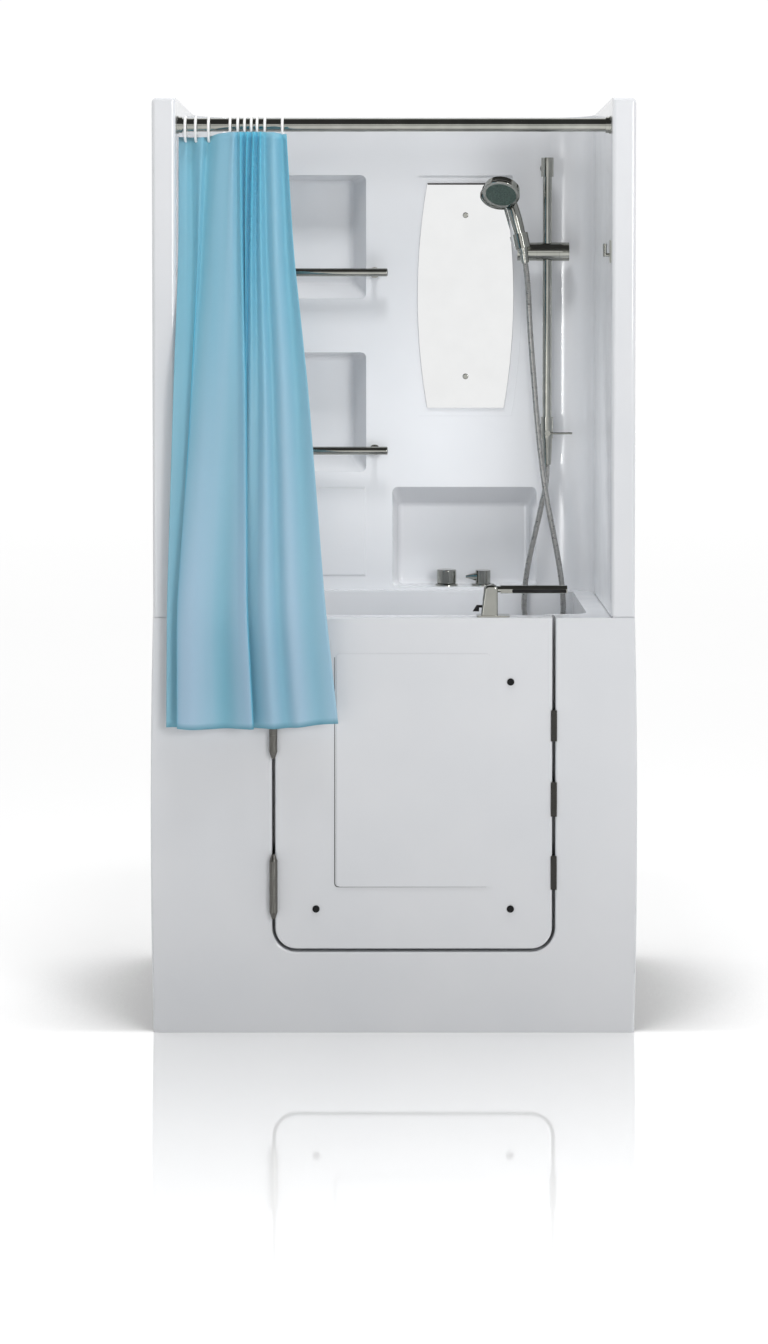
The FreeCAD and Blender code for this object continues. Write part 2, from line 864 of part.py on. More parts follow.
def make_latch_tower():
    front, back = latch_depths(latch_plate_depth)
    left = latch_x - latch_plate_left_reach
    right = latch_x + latch_plate_right_reach
    corners = [(left, front), (right, front), (right, back), (left, back)]
    plate = prism_z(corners, [latch_plate_corner] * len(corners), (rim_height, tower_foot))
    top = latch_z + eye_radius
    outline = [
        (tower_left, tower_foot),
        (tower_right, tower_foot),
        (tower_right, top),
        (tower_left + tower_shoulder, top),
    ]
    tower = prism_d(outline, [0, 0, eye_radius, eye_radius], latch_depths(tower_width))
    rims = [
        edge
        for edge in tower.Edges
        if edge.BoundBox.YLength < touch and edge.BoundBox.ZMax > tower_foot + touch
    ]
    tower = tower.makeFillet(tower_fillet, rims)
    slot = block(
        (tower_left - overrun, tower_right + overrun),
        latch_depths(eye_width + 2.0 * touch),
        (rim_height + tower_slot_floor, top + overrun),
    )
    pin_hole = bar_along_d(
        latch_pin_radius + running_slack, latch_x, latch_depths(latch_plate_depth), latch_z
    )
    stem_end = tower_left + tab_stem_length + tab_travel + touch
    stem_hole = bar_along_x(
        tab_stem_radius + running_slack,
        (tower_left - overrun, stem_end),
        door_middle,
        tower_foot + tab_low + tab_height / 2.0,
    )
    return cut_by(joined(plate, tower), slot, pin_hole, stem_hole)


def make_latch_pivot_pin():
    front, back = latch_depths(tower_width)
    shank = bar_along_d(latch_pin_radius, latch_x, (front, back), latch_z)
    heads = [
        bar_along_d(latch_pin_head_radius, latch_x, span, latch_z)
        for span in ((front - latch_pin_head, front), (back, back + latch_pin_head))
    ]
    return joined(shank, *heads)


def make_latch_lever():
    """An eye on the pivot pin, a round neck, and a flat grip with a sloped shoulder at its front."""
    eye = bar_along_d(eye_radius, latch_x, latch_depths(eye_width), latch_z)
    neck_end = latch_x + lever_neck_length
    neck = bar_along_x(lever_neck_radius, (latch_x, neck_end), door_middle, latch_z)
    front, back = latch_depths(lever_width)
    low = latch_z - lever_height / 2.0
    high = latch_z + lever_height / 2.0
    corners = [
        (front, low),
        (front, high - lever_slope),
        (front + lever_slope, high),
        (back, high),
        (back, low),
    ]
    grip = prism_x(corners, [lever_corner] * len(corners), (neck_end, latch_x + lever_length))
    hole = bar_along_d(
        latch_pin_radius + running_slack, latch_x, latch_depths(latch_plate_depth), latch_z
    )
    return joined(eye, neck, grip).cut(hole)


def make_latch_release():
    low = tower_foot + tab_low
    right = tower_left - tab_travel - touch
    outline = [(right - tab_length, low), (right, low), (right, low + tab_height)]
    tab = prism_d(outline, [0, 0, tab_width / 3.0], latch_depths(tab_width))
    stem_span = (right - tab_stem_radius, tower_left + tab_stem_length)
    stem = bar_along_x(tab_stem_radius, stem_span, door_middle, low + tab_height / 2.0)
    return joined(tab, stem)


# Surround walls
def foot_groove():
    """The heights of the shallow groove along a side wall's foot, where it meets the rim."""
    return (rim_height, rim_height + seam_height)


def make_side_wall(side):
    span = sorted((side * wall_inner, side * half_width))
    panel = block(span, (0, wall_back), (rim_height, surround_top))
    crown = []
    for edge in panel.Edges:
        box = edge.BoundBox
        if box.ZMin > surround_top - touch and box.XLength < touch and abs(box.XMin) > half_width - touch:
            crown.append(edge)
    panel = panel.makeFillet(wall_crown_fillet, crown)
    uprights = []
    for edge in panel.Edges:
        box = edge.BoundBox
        if box.YMax < front_y + touch and box.ZLength > wall_return:
            uprights.append(edge)
    panel = panel.makeFillet(wall_edge_fillet, uprights)
    hollow_span = sorted((side * (wall_inner + sheet), side * (half_width + overrun)))
    hollow = block(hollow_span, (sheet, wall_back - sheet), (rim_height + sheet, surround_top - sheet))
    front_groove = block(grown(span, overrun), (-overrun, seam_depth), foot_groove())
    inner_span = sorted((side * (wall_inner - overrun), side * (wall_inner + seam_depth)))
    inner_groove = block(inner_span, (-overrun, wall_back + overrun), foot_groove())
    return cut_by(panel, hollow, front_groove, inner_groove)


def rectangle(x, d, z):
    """A closed wire at one depth, from two (low, high) pairs."""
    return Part.makePolygon(
        [at(x[0], d, z[0]), at(x[1], d, z[0]), at(x[1], d, z[1]), at(x[0], d, z[1]), at(x[0], d, z[0])]
    )


def frustum(front_x, front_z, back_x, back_z, d):
    """A tapered block between a front and a back rectangle."""
    wires = [rectangle(front_x, d[0], front_z), rectangle(back_x, d[1], back_z)]
    return Part.makeLoft(wires, True, True)


def grown(span, amount):
    return (span[0] - amount, span[1] + amount)


def niche_solids(x, z, back_x, back_z):
    """A niche's outer tray and the hollow to cut from it, rounded inside."""
    back = back_face + niche_depth
    hollow = frustum(x, z, back_x, back_z, (back_face, back))
    inner_edges = [edge for edge in hollow.Edges if edge.BoundBox.YMax > front_y + back - touch]
    hollow = hollow.makeFillet(niche_fillet, inner_edges)
    outsides = [grown(span, sheet) for span in (x, z, back_x, back_z)]
    outer = frustum(*outsides, (back_face, back + sheet))
    return outer, hollow


def shelf_niche(rises):
    x = (niche_left, niche_right)
    z = [rim_height + rise for rise in rises]
    back_x = grown(x, -niche_side_slope)
    back_z = (z[0] + niche_floor_slope, z[1] - niche_top_slope)
    return niche_solids(x, z, back_x, back_z)


def tap_niche():
    x = (tap_niche_left_share * wall_inner, wall_flat - tap_niche_corner_gap)
    top = rim_height + tap_niche_rise
    z = (niche_floor_z, top)
    back_z = (niche_floor_z, top - tap_niche_top_slope)
    back_x = grown(x, -tap_niche_side_slope)
    return niche_solids(x, z, back_x, back_z)


def corner_sheet():
    """The back wall's sheet with its two rounded corners."""
    flat = wall_flat
    middle_share = math.sqrt(0.5)

    def corner(side, radius):
        start = at(side * (flat + radius), wall_back, rim_height)
        middle = at(side * (flat + radius * middle_share), wall_back + radius * middle_share, rim_height)
        end = at(side * flat, wall_back + radius, rim_height)
        return Part.Arc(start, middle, end).toShape()

    def line(start, end):
        return Part.LineSegment(at(*start, rim_height), at(*end, rim_height)).toShape()

    outer_radius = corner_radius + sheet
    inner_line = line((-flat, back_face), (flat, back_face))
    outer_back = back_face + sheet
    outer_line = line((-flat, outer_back), (flat, outer_back))
    ends = [
        line((side * wall_inner, wall_back), (side * (wall_inner + sheet), wall_back)) for side in (-1, 1)
    ]
    edges = [corner(-1, corner_radius), inner_line, corner(1, corner_radius), ends[1]]
    edges += [corner(1, outer_radius), outer_line, corner(-1, outer_radius), ends[0]]
    outline = Part.Wire(Part.__sortEdges__(edges))
    return Part.Face(outline).extrude(up * (surround_top - rim_height))


def mirror_prism(margin, d):
    """The mirror's barrel outline, grown by a margin, between two depths."""
    low = mirror_low - margin
    high = mirror_high + margin
    half_end = mirror_end_share * wall_inner + margin
    half_middle = mirror_middle_share * wall_inner + margin
    middle_z = (low + high) / 2.0

    def side_arc(side):
        top = at(mirror_x + side * half_end, d[0], high)
        middle = at(mirror_x + side * half_middle, d[0], middle_z)
        bottom = at(mirror_x + side * half_end, d[0], low)
        return top, Part.Arc(top, middle, bottom).toShape(), bottom

    return plate_between(side_arc(-1), side_arc(1), d[1] - d[0])


def mirror_screw_places():
    return (mirror_low + mirror_screw_inset, mirror_high - mirror_screw_inset)


def make_back_wall():
    trays = [shelf_niche(upper_niche_rises), shelf_niche(lower_niche_rises), tap_niche()]
    panel_x = (niche_left, niche_right)
    panel_z = [rim_height + rise for rise in wall_panel_rises]
    rise = frustum(
        grown(panel_x, -wall_panel_bevel),
        grown(panel_z, -wall_panel_bevel),
        panel_x,
        panel_z,
        (back_face - wall_panel_proud, back_face),
    )
    wall = joined(corner_sheet(), rise, *[outer for outer, hollow in trays])
    recess = mirror_prism(mirror_margin, (back_face, back_face + mirror_recess))
    through = (back_face - overrun, back_face + sheet + overrun)
    screw_holes = [
        bar_along_d(mirror_screw_radius + hole_slack, mirror_x, through, z) for z in mirror_screw_places()
    ]
    bracket_holes = [
        bar_along_d(spigot_radius + hole_slack, bar_x, through, sum(span) / 2.0)
        for span in (upper_barrel, lower_barrel)
    ]
    tap_holes = [
        bar_along_z(tap_neck_radius + hole_slack, x, tap_d, grown((rim_height, niche_floor_z), overrun))
        for x in (diverter_x, mixer_x)
    ]
    hollows = [hollow for outer, hollow in trays]
    return cut_by(wall, *hollows, recess, *screw_holes, *bracket_holes, *tap_holes)


# Mirror, rails and hook
def mirror_front():
    return back_face + mirror_recess - mirror_thickness


def make_mirror():
    plate = mirror_prism(0, (mirror_front(), back_face + mirror_recess))
    reach = grown((back_face, back_face), overrun)
    holes = [
        bar_along_d(mirror_screw_radius + hole_slack, mirror_x, reach, z) for z in mirror_screw_places()
    ]
    return cut_by(plate, *holes)


def make_mirror_screws():
    screws = []
    for z in mirror_screw_places():
        front = mirror_front()
        head = bar_along_d(mirror_screw_head_radius, mirror_x, (front - mirror_screw_head, front), z)
        rim = [edge for edge in head.Edges if edge.BoundBox.YMax < front_y + front - touch]
        head = head.makeFillet(mirror_screw_head * mirror_screw_dome_share, rim)
        shank = bar_along_d(mirror_screw_radius, mirror_x, (front - touch, back_face + sheet), z)
        screws.append(joined(head, shank))
    return Part.makeCompound(screws)


def make_shelf_rails():
    rails = []
    for z in rail_heights:
        rail = bar_along_x(rail_radius, (rail_left, rail_right), rail_d, z)
        ends = [edge for edge in rail.Edges if edge.Curve.TypeId == "Part::GeomCircle"]
        rail = rail.makeFillet(rail_radius / 3.0, ends)
        sockets = [
            bar_along_d(rail_post_radius + running_slack, x, (rail_d, back_face), z)
            for x in rail_post_places()
        ]
        rails.append(cut_by(rail, *sockets))
    return Part.makeCompound(rails)


def rail_post_places():
    return (rail_left + rail_post_inset, rail_right - rail_post_inset)


def make_rail_posts():
    posts = []
    for z in rail_heights:
        for x in rail_post_places():
            foot = back_face - touch
            post = bar_along_d(rail_post_radius, x, (rail_d, foot), z)
            rose = bar_along_d(rail_post_rose_radius, x, (foot - rail_post_rose, foot), z)
            posts.append(joined(post, rose))
    return Part.makeCompound(posts)


def make_curtain_hook():
    hook_z = rim_height + hook_rise
    low = hook_z - hook_height / 2.0
    high = hook_z + hook_height / 2.0
    plate_d = (hook_setback, hook_setback + hook_width)
    plate = block((wall_inner - hook_plate, wall_inner), plate_d, (low, high))
    peg_end = wall_inner - hook_plate - hook_peg_length
    middle = sum(plate_d) / 2.0
    peg_z = low + hook_width
    peg = bar_along_x(hook_peg_radius, (peg_end, wall_inner - hook_plate), middle, peg_z)
    lip = bar_along_z(hook_peg_radius, peg_end, middle, (peg_z - hook_peg_radius, hook_z + hook_width))
    return joined(plate, peg, lip)


# Curtain rod, rings and curtain
def rod_end():
    return wall_inner - rod_flange_thickness


def make_curtain_rod():
    return bar_along_x(rod_radius, (-rod_end(), rod_end()), rod_setback, rod_z)


def make_rod_flanges():
    flanges = []
    for side in (-1, 1):
        disc_x = sorted((side * rod_end(), side * wall_inner))
        collar_x = sorted((side * (rod_end() - rod_collar_length), side * rod_end()))
        disc = bar_along_x(rod_flange_radius, disc_x, rod_setback, rod_z)
        collar = bar_along_x(rod_collar_radius, collar_x, rod_setback, rod_z)
        bore = bar_along_x(rod_radius + running_slack, collar_x, rod_setback, rod_z)
        flanges.append(joined(disc, collar).cut(bore))
    return Part.makeCompound(flanges)


def ring_centre():
    """Each ring hangs with the top of its hole just clear of the rod."""
    return rod_z + rod_radius + touch - ring_radius


def make_curtain_rings():
    rings = []
    for gap in ring_wall_gaps:
        x = gap - wall_inner
        span = (x - ring_width / 2.0, x + ring_width / 2.0)
        outer = bar_along_x(ring_radius + ring_thickness, span, rod_setback, ring_centre())
        rings.append(outer.cut(bar_along_x(ring_radius, span, rod_setback, ring_centre())))
    return Part.makeCompound(rings)


def curtain_section(wall_gaps, middle_d, swing, z):
    """A closed ribbon of gentle arcs that swing to the front and back in turn."""
    left, right = [gap - wall_inner for gap in wall_gaps]
    places = [left]
    for share in fold_width_shares:
        places.append(places[-1] + share * (right - left) / sum(fold_width_shares))

    def side_arcs(d):
        arcs = []
        for count, (start, end) in enumerate(zip(places, places[1:])):
            bulge = d + swing * (-1) ** count
            arcs.append(Part.Arc(at(start, d, z), at((start + end) / 2.0, bulge, z), at(end, d, z)).toShape())
        return arcs

    front = middle_d - curtain_thickness / 2.0
    back = middle_d + curtain_thickness / 2.0
    closing = [
        Part.LineSegment(at(right, front, z), at(right, back, z)).toShape(),
        Part.LineSegment(at(left, back, z), at(left, front, z)).toShape(),
    ]
    edges = side_arcs(front) + closing[:1] + side_arcs(back)[::-1] + closing[1:]
    return Part.Wire(edges)


def make_curtain():
    hem_d = curtain_hem_swing + curtain_thickness / 2.0 - curtain_reach
    top_z = ring_centre() - ring_radius - ring_thickness - touch
    lean_d = hem_d + curtain_lean
    mid_z = rim_height + curtain_mid_rise
    sections = [
        curtain_section(curtain_top_gaps, rod_setback, curtain_top_swing, top_z),
        curtain_section(curtain_mid_gaps, curtain_mid_setback, curtain_mid_swing, mid_z),
        curtain_section(curtain_out_gaps, lean_d, curtain_out_swing, rim_height + curtain_out_rise),
        curtain_section(curtain_low_gaps, lean_d, curtain_hem_swing, rim_height + curtain_low_rise),
        curtain_section(curtain_hem_gaps, hem_d, curtain_hem_swing, rim_height - curtain_hem_drop),
    ]
    return Part.makeLoft(sections, True, True)


# Slide bar and brackets
def make_slide_bar():
    return bar_along_z(bar_radius, bar_x, bar_d_place, (bar_low, bar_high))


def bracket(barrel_span):
    """A barrel on the bar, a neck to a rose on the wall, and a spigot through the wall."""
    z = sum(barrel_span) / 2.0
    wall = back_face - touch
    barrel = bar_along_z(barrel_radius, bar_x, bar_d_place, barrel_span)
    neck = bar_along_d(bracket_neck_radius, bar_x, (bar_d_place, wall), z)
    rose = bar_along_d(bracket_rose_radius, bar_x, (wall - bracket_rose, wall), z)
    spigot = bar_along_d(spigot_radius, bar_x, (wall, back_face + spigot_length), z)
    bore = bar_along_z(bar_radius + running_slack, bar_x, bar_d_place, (bar_low, bar_high))
    return joined(barrel, neck, rose, spigot).cut(bore)


def make_upper_bracket():
    return bracket(upper_barrel)


def make_lower_bracket():
    boss_front = bar_d_place - barrel_radius - shutoff_boss_length
    boss = bar_along_d(shutoff_boss_radius, bar_x, (boss_front, bar_d_place), shutoff_z)
    stem = bar_along_d(
        shutoff_stem_radius, bar_x, (boss_front - shutoff_hub_length, boss_front), shutoff_z
    )
    return joined(bracket(lower_barrel), boss, stem)


def make_bracket_nuts():
    nuts = []
    for span in (upper_barrel, lower_barrel):
        z = sum(span) / 2.0
        behind = back_face + sheet
        blank = hexagon(bracket_nut_across, at(bar_x, behind, z), along_d, bracket_nut_height)
        nuts.append(blank.cut(bar_along_d(spigot_radius + running_slack, bar_x, (behind, depth), z)))
    return Part.makeCompound(nuts)


def make_shutoff_lever():
    back = bar_d_place - barrel_radius - shutoff_boss_length - touch
    front = back - shutoff_hub_length
    hub = bar_along_d(shutoff_boss_radius, bar_x, (front, back), shutoff_z)
    middle = (front + back) / 2.0
    arm = bar_along_x(shutoff_arm_radius, (bar_x, bar_x + shutoff_arm_length), middle, shutoff_z)
    tip = [edge for edge in arm.Edges if edge.BoundBox.XMin > bar_x + touch and edge.BoundBox.XLength < touch]
    arm = arm.makeFillet(shutoff_arm_radius / 2.0, tip)
    hole = bar_along_d(shutoff_stem_radius + running_slack, bar_x, grown((front, back), overrun), shutoff_z)
    return joined(hub, arm).cut(hole)


def make_outlet_nut():
    low = lower_barrel[0] - outlet_nut_length
    return Part.makeCone(
        outlet_nut_bottom_radius, outlet_nut_top_radius, outlet_nut_length, at(bar_x, bar_d_place, low), up
    )


# Slider, holder and hand shower
def make_slider_clamp():
    body = bar_along_x(clamp_radius, (clamp_left, clamp_right), bar_d_place, slider_z)
    stub = bar_along_x(clamp_stub_radius, (clamp_left - clamp_stub_length, clamp_left), bar_d_place, slider_z)
    bar_hole = bar_along_z(
        bar_radius + running_slack, bar_x, bar_d_place, grown((slider_z, slider_z), clamp_radius + overrun)
    )
    knob_hole = bar_along_x(
        clamp_knob_stem_radius + running_slack,
        (clamp_right - clamp_knob_stem_length - touch, clamp_right),
        bar_d_place,
        slider_z,
    )
    return cut_by(joined(body, stub), bar_hole, knob_hole)


def make_slider_knob():
    left = clamp_right + touch
    span = (left, left + clamp_knob_length)
    body = bar_along_x(clamp_radius, span, bar_d_place, slider_z)
    flutes = []
    for count in range(clamp_knob_flutes):
        angle = 2.0 * math.pi * count / clamp_knob_flutes
        flute_d = bar_d_place + clamp_radius * math.cos(angle)
        flute_z = slider_z + clamp_radius * math.sin(angle)
        flute_span = (left + clamp_knob_length / 3.0, span[1])
        flutes.append(bar_along_x(clamp_knob_flute_radius / 2.0, flute_span, flute_d, flute_z))
    stem_span = (clamp_right - clamp_knob_stem_length, left)
    stem = bar_along_x(clamp_knob_stem_radius, stem_span, bar_d_place, slider_z)
    return joined(cut_by(body, *flutes), stem)


def from_slider(offset):
    """A point measured from the slider's middle."""
    return at(bar_x, bar_d_place, slider_z) + V(*offset)


def handle_ends():
    return [from_slider(offset) for offset in (handle_foot, handle_bend, handle_head)]


def handle_point(share):
    """A point on the handle's curve, a parabola from its foot past its bend to its head."""
    foot, bend, head = handle_ends()
    rest = 1.0 - share
    return foot * (rest * rest) + bend * (2.0 * share * rest) + head * (share * share)


def handle_direction(share):
    foot, bend, head = handle_ends()
    return ((bend - foot) * (1.0 - share) + (head - bend) * share).normalize()


def handle_solid(grow):
    rings = [
        Part.Wire(Part.Circle(handle_point(share), handle_direction(share), radius + grow).toShape())
        for share, radius in zip(handle_station_shares, handle_radii)
    ]
    return Part.makeLoft(rings, True, False)


def make_handset_holder():
    right = clamp_left - touch
    barrel = bar_along_x(holder_radius, (bar_x - holder_reach, right), bar_d_place, slider_z)
    direction = handle_direction(holder_place_share)
    foot = handle_point(holder_place_share) - direction * (socket_height / 2.0)
    socket = Part.makeCylinder(socket_radius, socket_height, foot, direction)
    stub_span = (clamp_left - clamp_stub_length - touch, right)
    stub_hole = bar_along_x(clamp_stub_radius + running_slack, stub_span, bar_d_place, slider_z)
    nut_run = handset_nut_length + overrun
    nut_end = handle_point(0) - handle_direction(0) * nut_run
    nut_room = Part.makeCylinder(handle_radii[0] + touch, nut_run, nut_end, handle_direction(0))
    return cut_by(joined(barrel, socket), handle_solid(touch), nut_room, stub_hole)


def face_frame():
    return from_slider(face_centre), V(*face_normal).normalize()


def disc_on_face(radius, back, front):
    """A disc about the spray face's axis, between two places along it."""
    centre, normal = face_frame()
    return Part.makeCylinder(radius, front - back, centre + normal * back, normal)


def make_handset_body():
    centre, normal = face_frame()
    shoulder = -spray_ring_depth - touch
    drum = disc_on_face(head_radius, shoulder - head_depth, shoulder)
    dome_foot = centre + normal * (shoulder - head_depth - dome_depth)
    dome = Part.makeCone(dome_top_radius, head_radius, dome_depth, dome_foot, normal)
    spigot = disc_on_face(spigot_head_radius, shoulder - touch, -face_thickness)
    ring_room = disc_on_face(ring_outer_radius + touch, shoulder, overrun)
    return joined(handle_solid(0).cut(ring_room), drum, dome, spigot)


def make_spray_face():
    return disc_on_face(face_radius, -face_thickness, 0)


def make_spray_ring():
    ring = disc_on_face(ring_outer_radius, -spray_ring_depth, 0)
    outer_edge = [edge for edge in ring.Edges if edge.Curve.TypeId == "Part::GeomCircle"]
    ring = ring.makeFillet(spray_ring_depth / 4.0, outer_edge)
    return ring.cut(disc_on_face(face_radius + touch, -spray_ring_depth - overrun, overrun))


def make_handset_nut():
    direction = handle_direction(0)
    end = handle_point(0) - direction * handset_nut_length
    return Part.makeCone(handset_nut_end_radius, handle_radii[0], handset_nut_length, end, direction)


# Hose
def hose_points():
    """The whole route, from the handset's nut to the outlet nut."""
    start = handle_point(0) - handle_direction(0) * handset_nut_length
    first = start - handle_direction(0) * hose_exit_run
    end = at(bar_x, bar_d_place, lower_barrel[0] - outlet_nut_length)
    last = end - up * hose_exit_run
    bar_at_rim = at(bar_x, bar_d_place, rim_height)
    return [start, first] + [bar_at_rim + V(*point) for point in hose_route] + [last, end]


def hose_tube(points):
    """A tube on the route, each bend as large as its runs allow, with its radii printed."""
    bends = []
    for before, here, after in zip(points, points[1:], points[2:]):
        back = before - here
        ahead = after - here
        turn = math.pi - back.getAngle(ahead)
        bends.append(hose_bend_share * min(back.Length, ahead.Length) / math.tan(turn / 2.0))
    path = bent_path(points, bends)
    tube = swept(path, points, hose_radius)
    drift = tube.Volume / (math.pi * hose_radius**2 * path.Length) - 1.0
    print("hose length", round(path.Length, 1), "volume drift", round(drift, 4))
    print("hose bend radii", [round(bend) for bend in bends])
    return tube


def hose_split():
    points = hose_points()
    before, after = points[hose_split_run], points[hose_split_run + 1]
    return before + (after - before) * hose_split_share


def make_shower_hose_top():
    return hose_tube(hose_points()[: hose_split_run + 1] + [hose_split()])


def make_shower_hose():
    return hose_tube([hose_split()] + hose_points()[hose_split_run + 1 :])


# Taps and pipework
def make_mixer_valve():
    body = bar_along_x(valve_radius, (diverter_x - valve_left_reach, valve_right), tap_d, valve_z)
    collar_low = valve_z - valve_radius - inlet_collar
    inlets = []
    for x in (diverter_x - hot_inlet_reach, mixer_x + cold_inlet_reach):
        inlets.append(bar_along_z(inlet_collar_radius, x, tap_d, (collar_low, valve_z)))
        inlets.append(bar_along_z(inlet_radius, x, tap_d, (collar_low - inlet_length, collar_low)))
    necks = [bar_along_z(tap_neck_radius, x, tap_d, (valve_z, niche_floor_z)) for x in (diverter_x, mixer_x)]
    stems = [
        bar_along_z(tap_stem_radius, x, tap_d, (niche_floor_z, niche_floor_z + tap_stem_height))
        for x in (diverter_x, mixer_x)
    ]
    return joined(body, *inlets, *necks, *stems)


def make_tap_roses():
    roses = []
    for x in (diverter_x, mixer_x):
        span = (niche_floor_z, niche_floor_z + tap_rose)
        rose = bar_along_z(tap_rose_radius, x, tap_d, span)
        top = [edge for edge in rose.Edges if edge.BoundBox.ZMin > niche_floor_z + touch]
        rose = rose.makeFillet(tap_rose / 2.0, top)
        roses.append(rose.cut(bar_along_z(tap_stem_radius + running_slack, x, tap_d, span)))
    return Part.makeCompound(roses)


def stem_bore(x):
    return bar_along_z(
        tap_stem_radius + running_slack, x, tap_d, (niche_floor_z, niche_floor_z + tap_stem_height + touch)
    )


def make_diverter_knob():
    low = niche_floor_z + tap_rose + touch
    knob = bar_along_z(diverter_radius, diverter_x, tap_d, (low, low + diverter_height))
    rims = [edge for edge in knob.Edges if edge.Curve.TypeId == "Part::GeomCircle"]
    return knob.makeFillet(diverter_fillet, rims).cut(stem_bore(diverter_x))


def make_mixer_lever():
    low = niche_floor_z + tap_rose + touch
    body = bar_along_z(mixer_radius, mixer_x, tap_d, (low, low + mixer_height))
    nose = Part.makeCone(
        nose_radius, nose_tip_radius, nose_reach, at(mixer_x, tap_d, low + nose_height), along_x * -1
    )
    return joined(body, nose).cut(stem_bore(mixer_x))


def make_riser_pipe():
    z = sum(lower_barrel) / 2.0
    points = [
        at(bar_x, back_face + spigot_length, z),
        at(bar_x, tap_d, z),
        at(bar_x, tap_d, valve_z),
        at(valve_right, tap_d, valve_z),
    ]
    return bent_tube(points, riser_bend, riser_radius, riser_bore)


# Drain and overflow
def make_drain_flange():
    top = (footwell_floor, footwell_floor + drain_flange_thickness)
    flange = bar_along_z(drain_flange_radius, drain_x, drain_setback, top)
    collar = bar_along_z(drain_collar_radius, drain_x, drain_setback, (drain_collar_bottom, footwell_floor))
    bore = bar_along_z(drain_bore, drain_x, drain_setback, grown((drain_collar_bottom, top[1]), overrun))
    return joined(flange, collar).cut(bore)


def make_drain_plug():
    low = footwell_floor + drain_flange_thickness + touch
    disc = bar_along_z(plug_radius, drain_x, drain_setback, (low, low + plug_thickness))
    top = [edge for edge in disc.Edges if edge.BoundBox.ZMin > low + touch]
    disc = disc.makeFillet(plug_thickness / 2.0, top)
    stem = bar_along_z(plug_stem_radius, drain_x, drain_setback, (low - plug_stem_length, low))
    return joined(disc, stem)


def make_waste_trap():
    cup = bar_along_z(trap_radius, drain_x, drain_setback, (trap_bottom, drain_collar_bottom))
    spigot_start = waste_end - waste_spigot_length
    pipe = bar_along_d(waste_pipe_radius, drain_x, (drain_setback, spigot_start), waste_z)
    spigot = bar_along_d(waste_spigot_radius, drain_x, (spigot_start, waste_end), waste_z)
    tee = bar_along_z(tee_radius, drain_x, tee_setback, (waste_z, tee_top))
    cup_bore = bar_along_z(drain_bore, drain_x, drain_setback, (waste_z, drain_collar_bottom))
    pipe_bore = bar_along_d(waste_bore, drain_x, (drain_setback, waste_end), waste_z)
    tee_bore = bar_along_z(overflow_pipe_bore, drain_x, tee_setback, (waste_z, tee_top))
    return cut_by(joined(cup, pipe, spigot, tee), cup_bore, pipe_bore, tee_bore)


def make_overflow_plate():
    front = basin_back - overflow_plate_thickness
    plate = bar_along_d(overflow_plate_radius, drain_x, (front, basin_back), overflow_z)
    boss_end = basin_back + overflow_boss_length
    boss = bar_along_d(overflow_boss_radius, drain_x, (basin_back, boss_end), overflow_z)
    bore = bar_along_d(overflow_spindle_radius + running_slack, drain_x, (front, boss_end), overflow_z)
    return joined(plate, boss).cut(bore)


def make_overflow_knob():
    back = basin_back - overflow_plate_thickness - touch
    knob = bar_along_d(overflow_knob_radius, drain_x, (back - overflow_knob_depth, back), overflow_z)
    front = [edge for edge in knob.Edges if edge.BoundBox.YMax < front_y + back - touch]
    knob = knob.makeFillet(overflow_knob_depth / 4.0, front)
    spindle = bar_along_d(overflow_spindle_radius, drain_x, (back, basin_back), overflow_z)
    return joined(knob, spindle)


def make_overflow_pipe():
    points = [
        at(drain_x, basin_back + overflow_boss_length, overflow_z),
        at(drain_x, tee_setback, overflow_z),
        at(drain_x, tee_setback, tee_top),
    ]
    return bent_tube(points, overflow_bend, overflow_pipe_radius, overflow_pipe_bore)


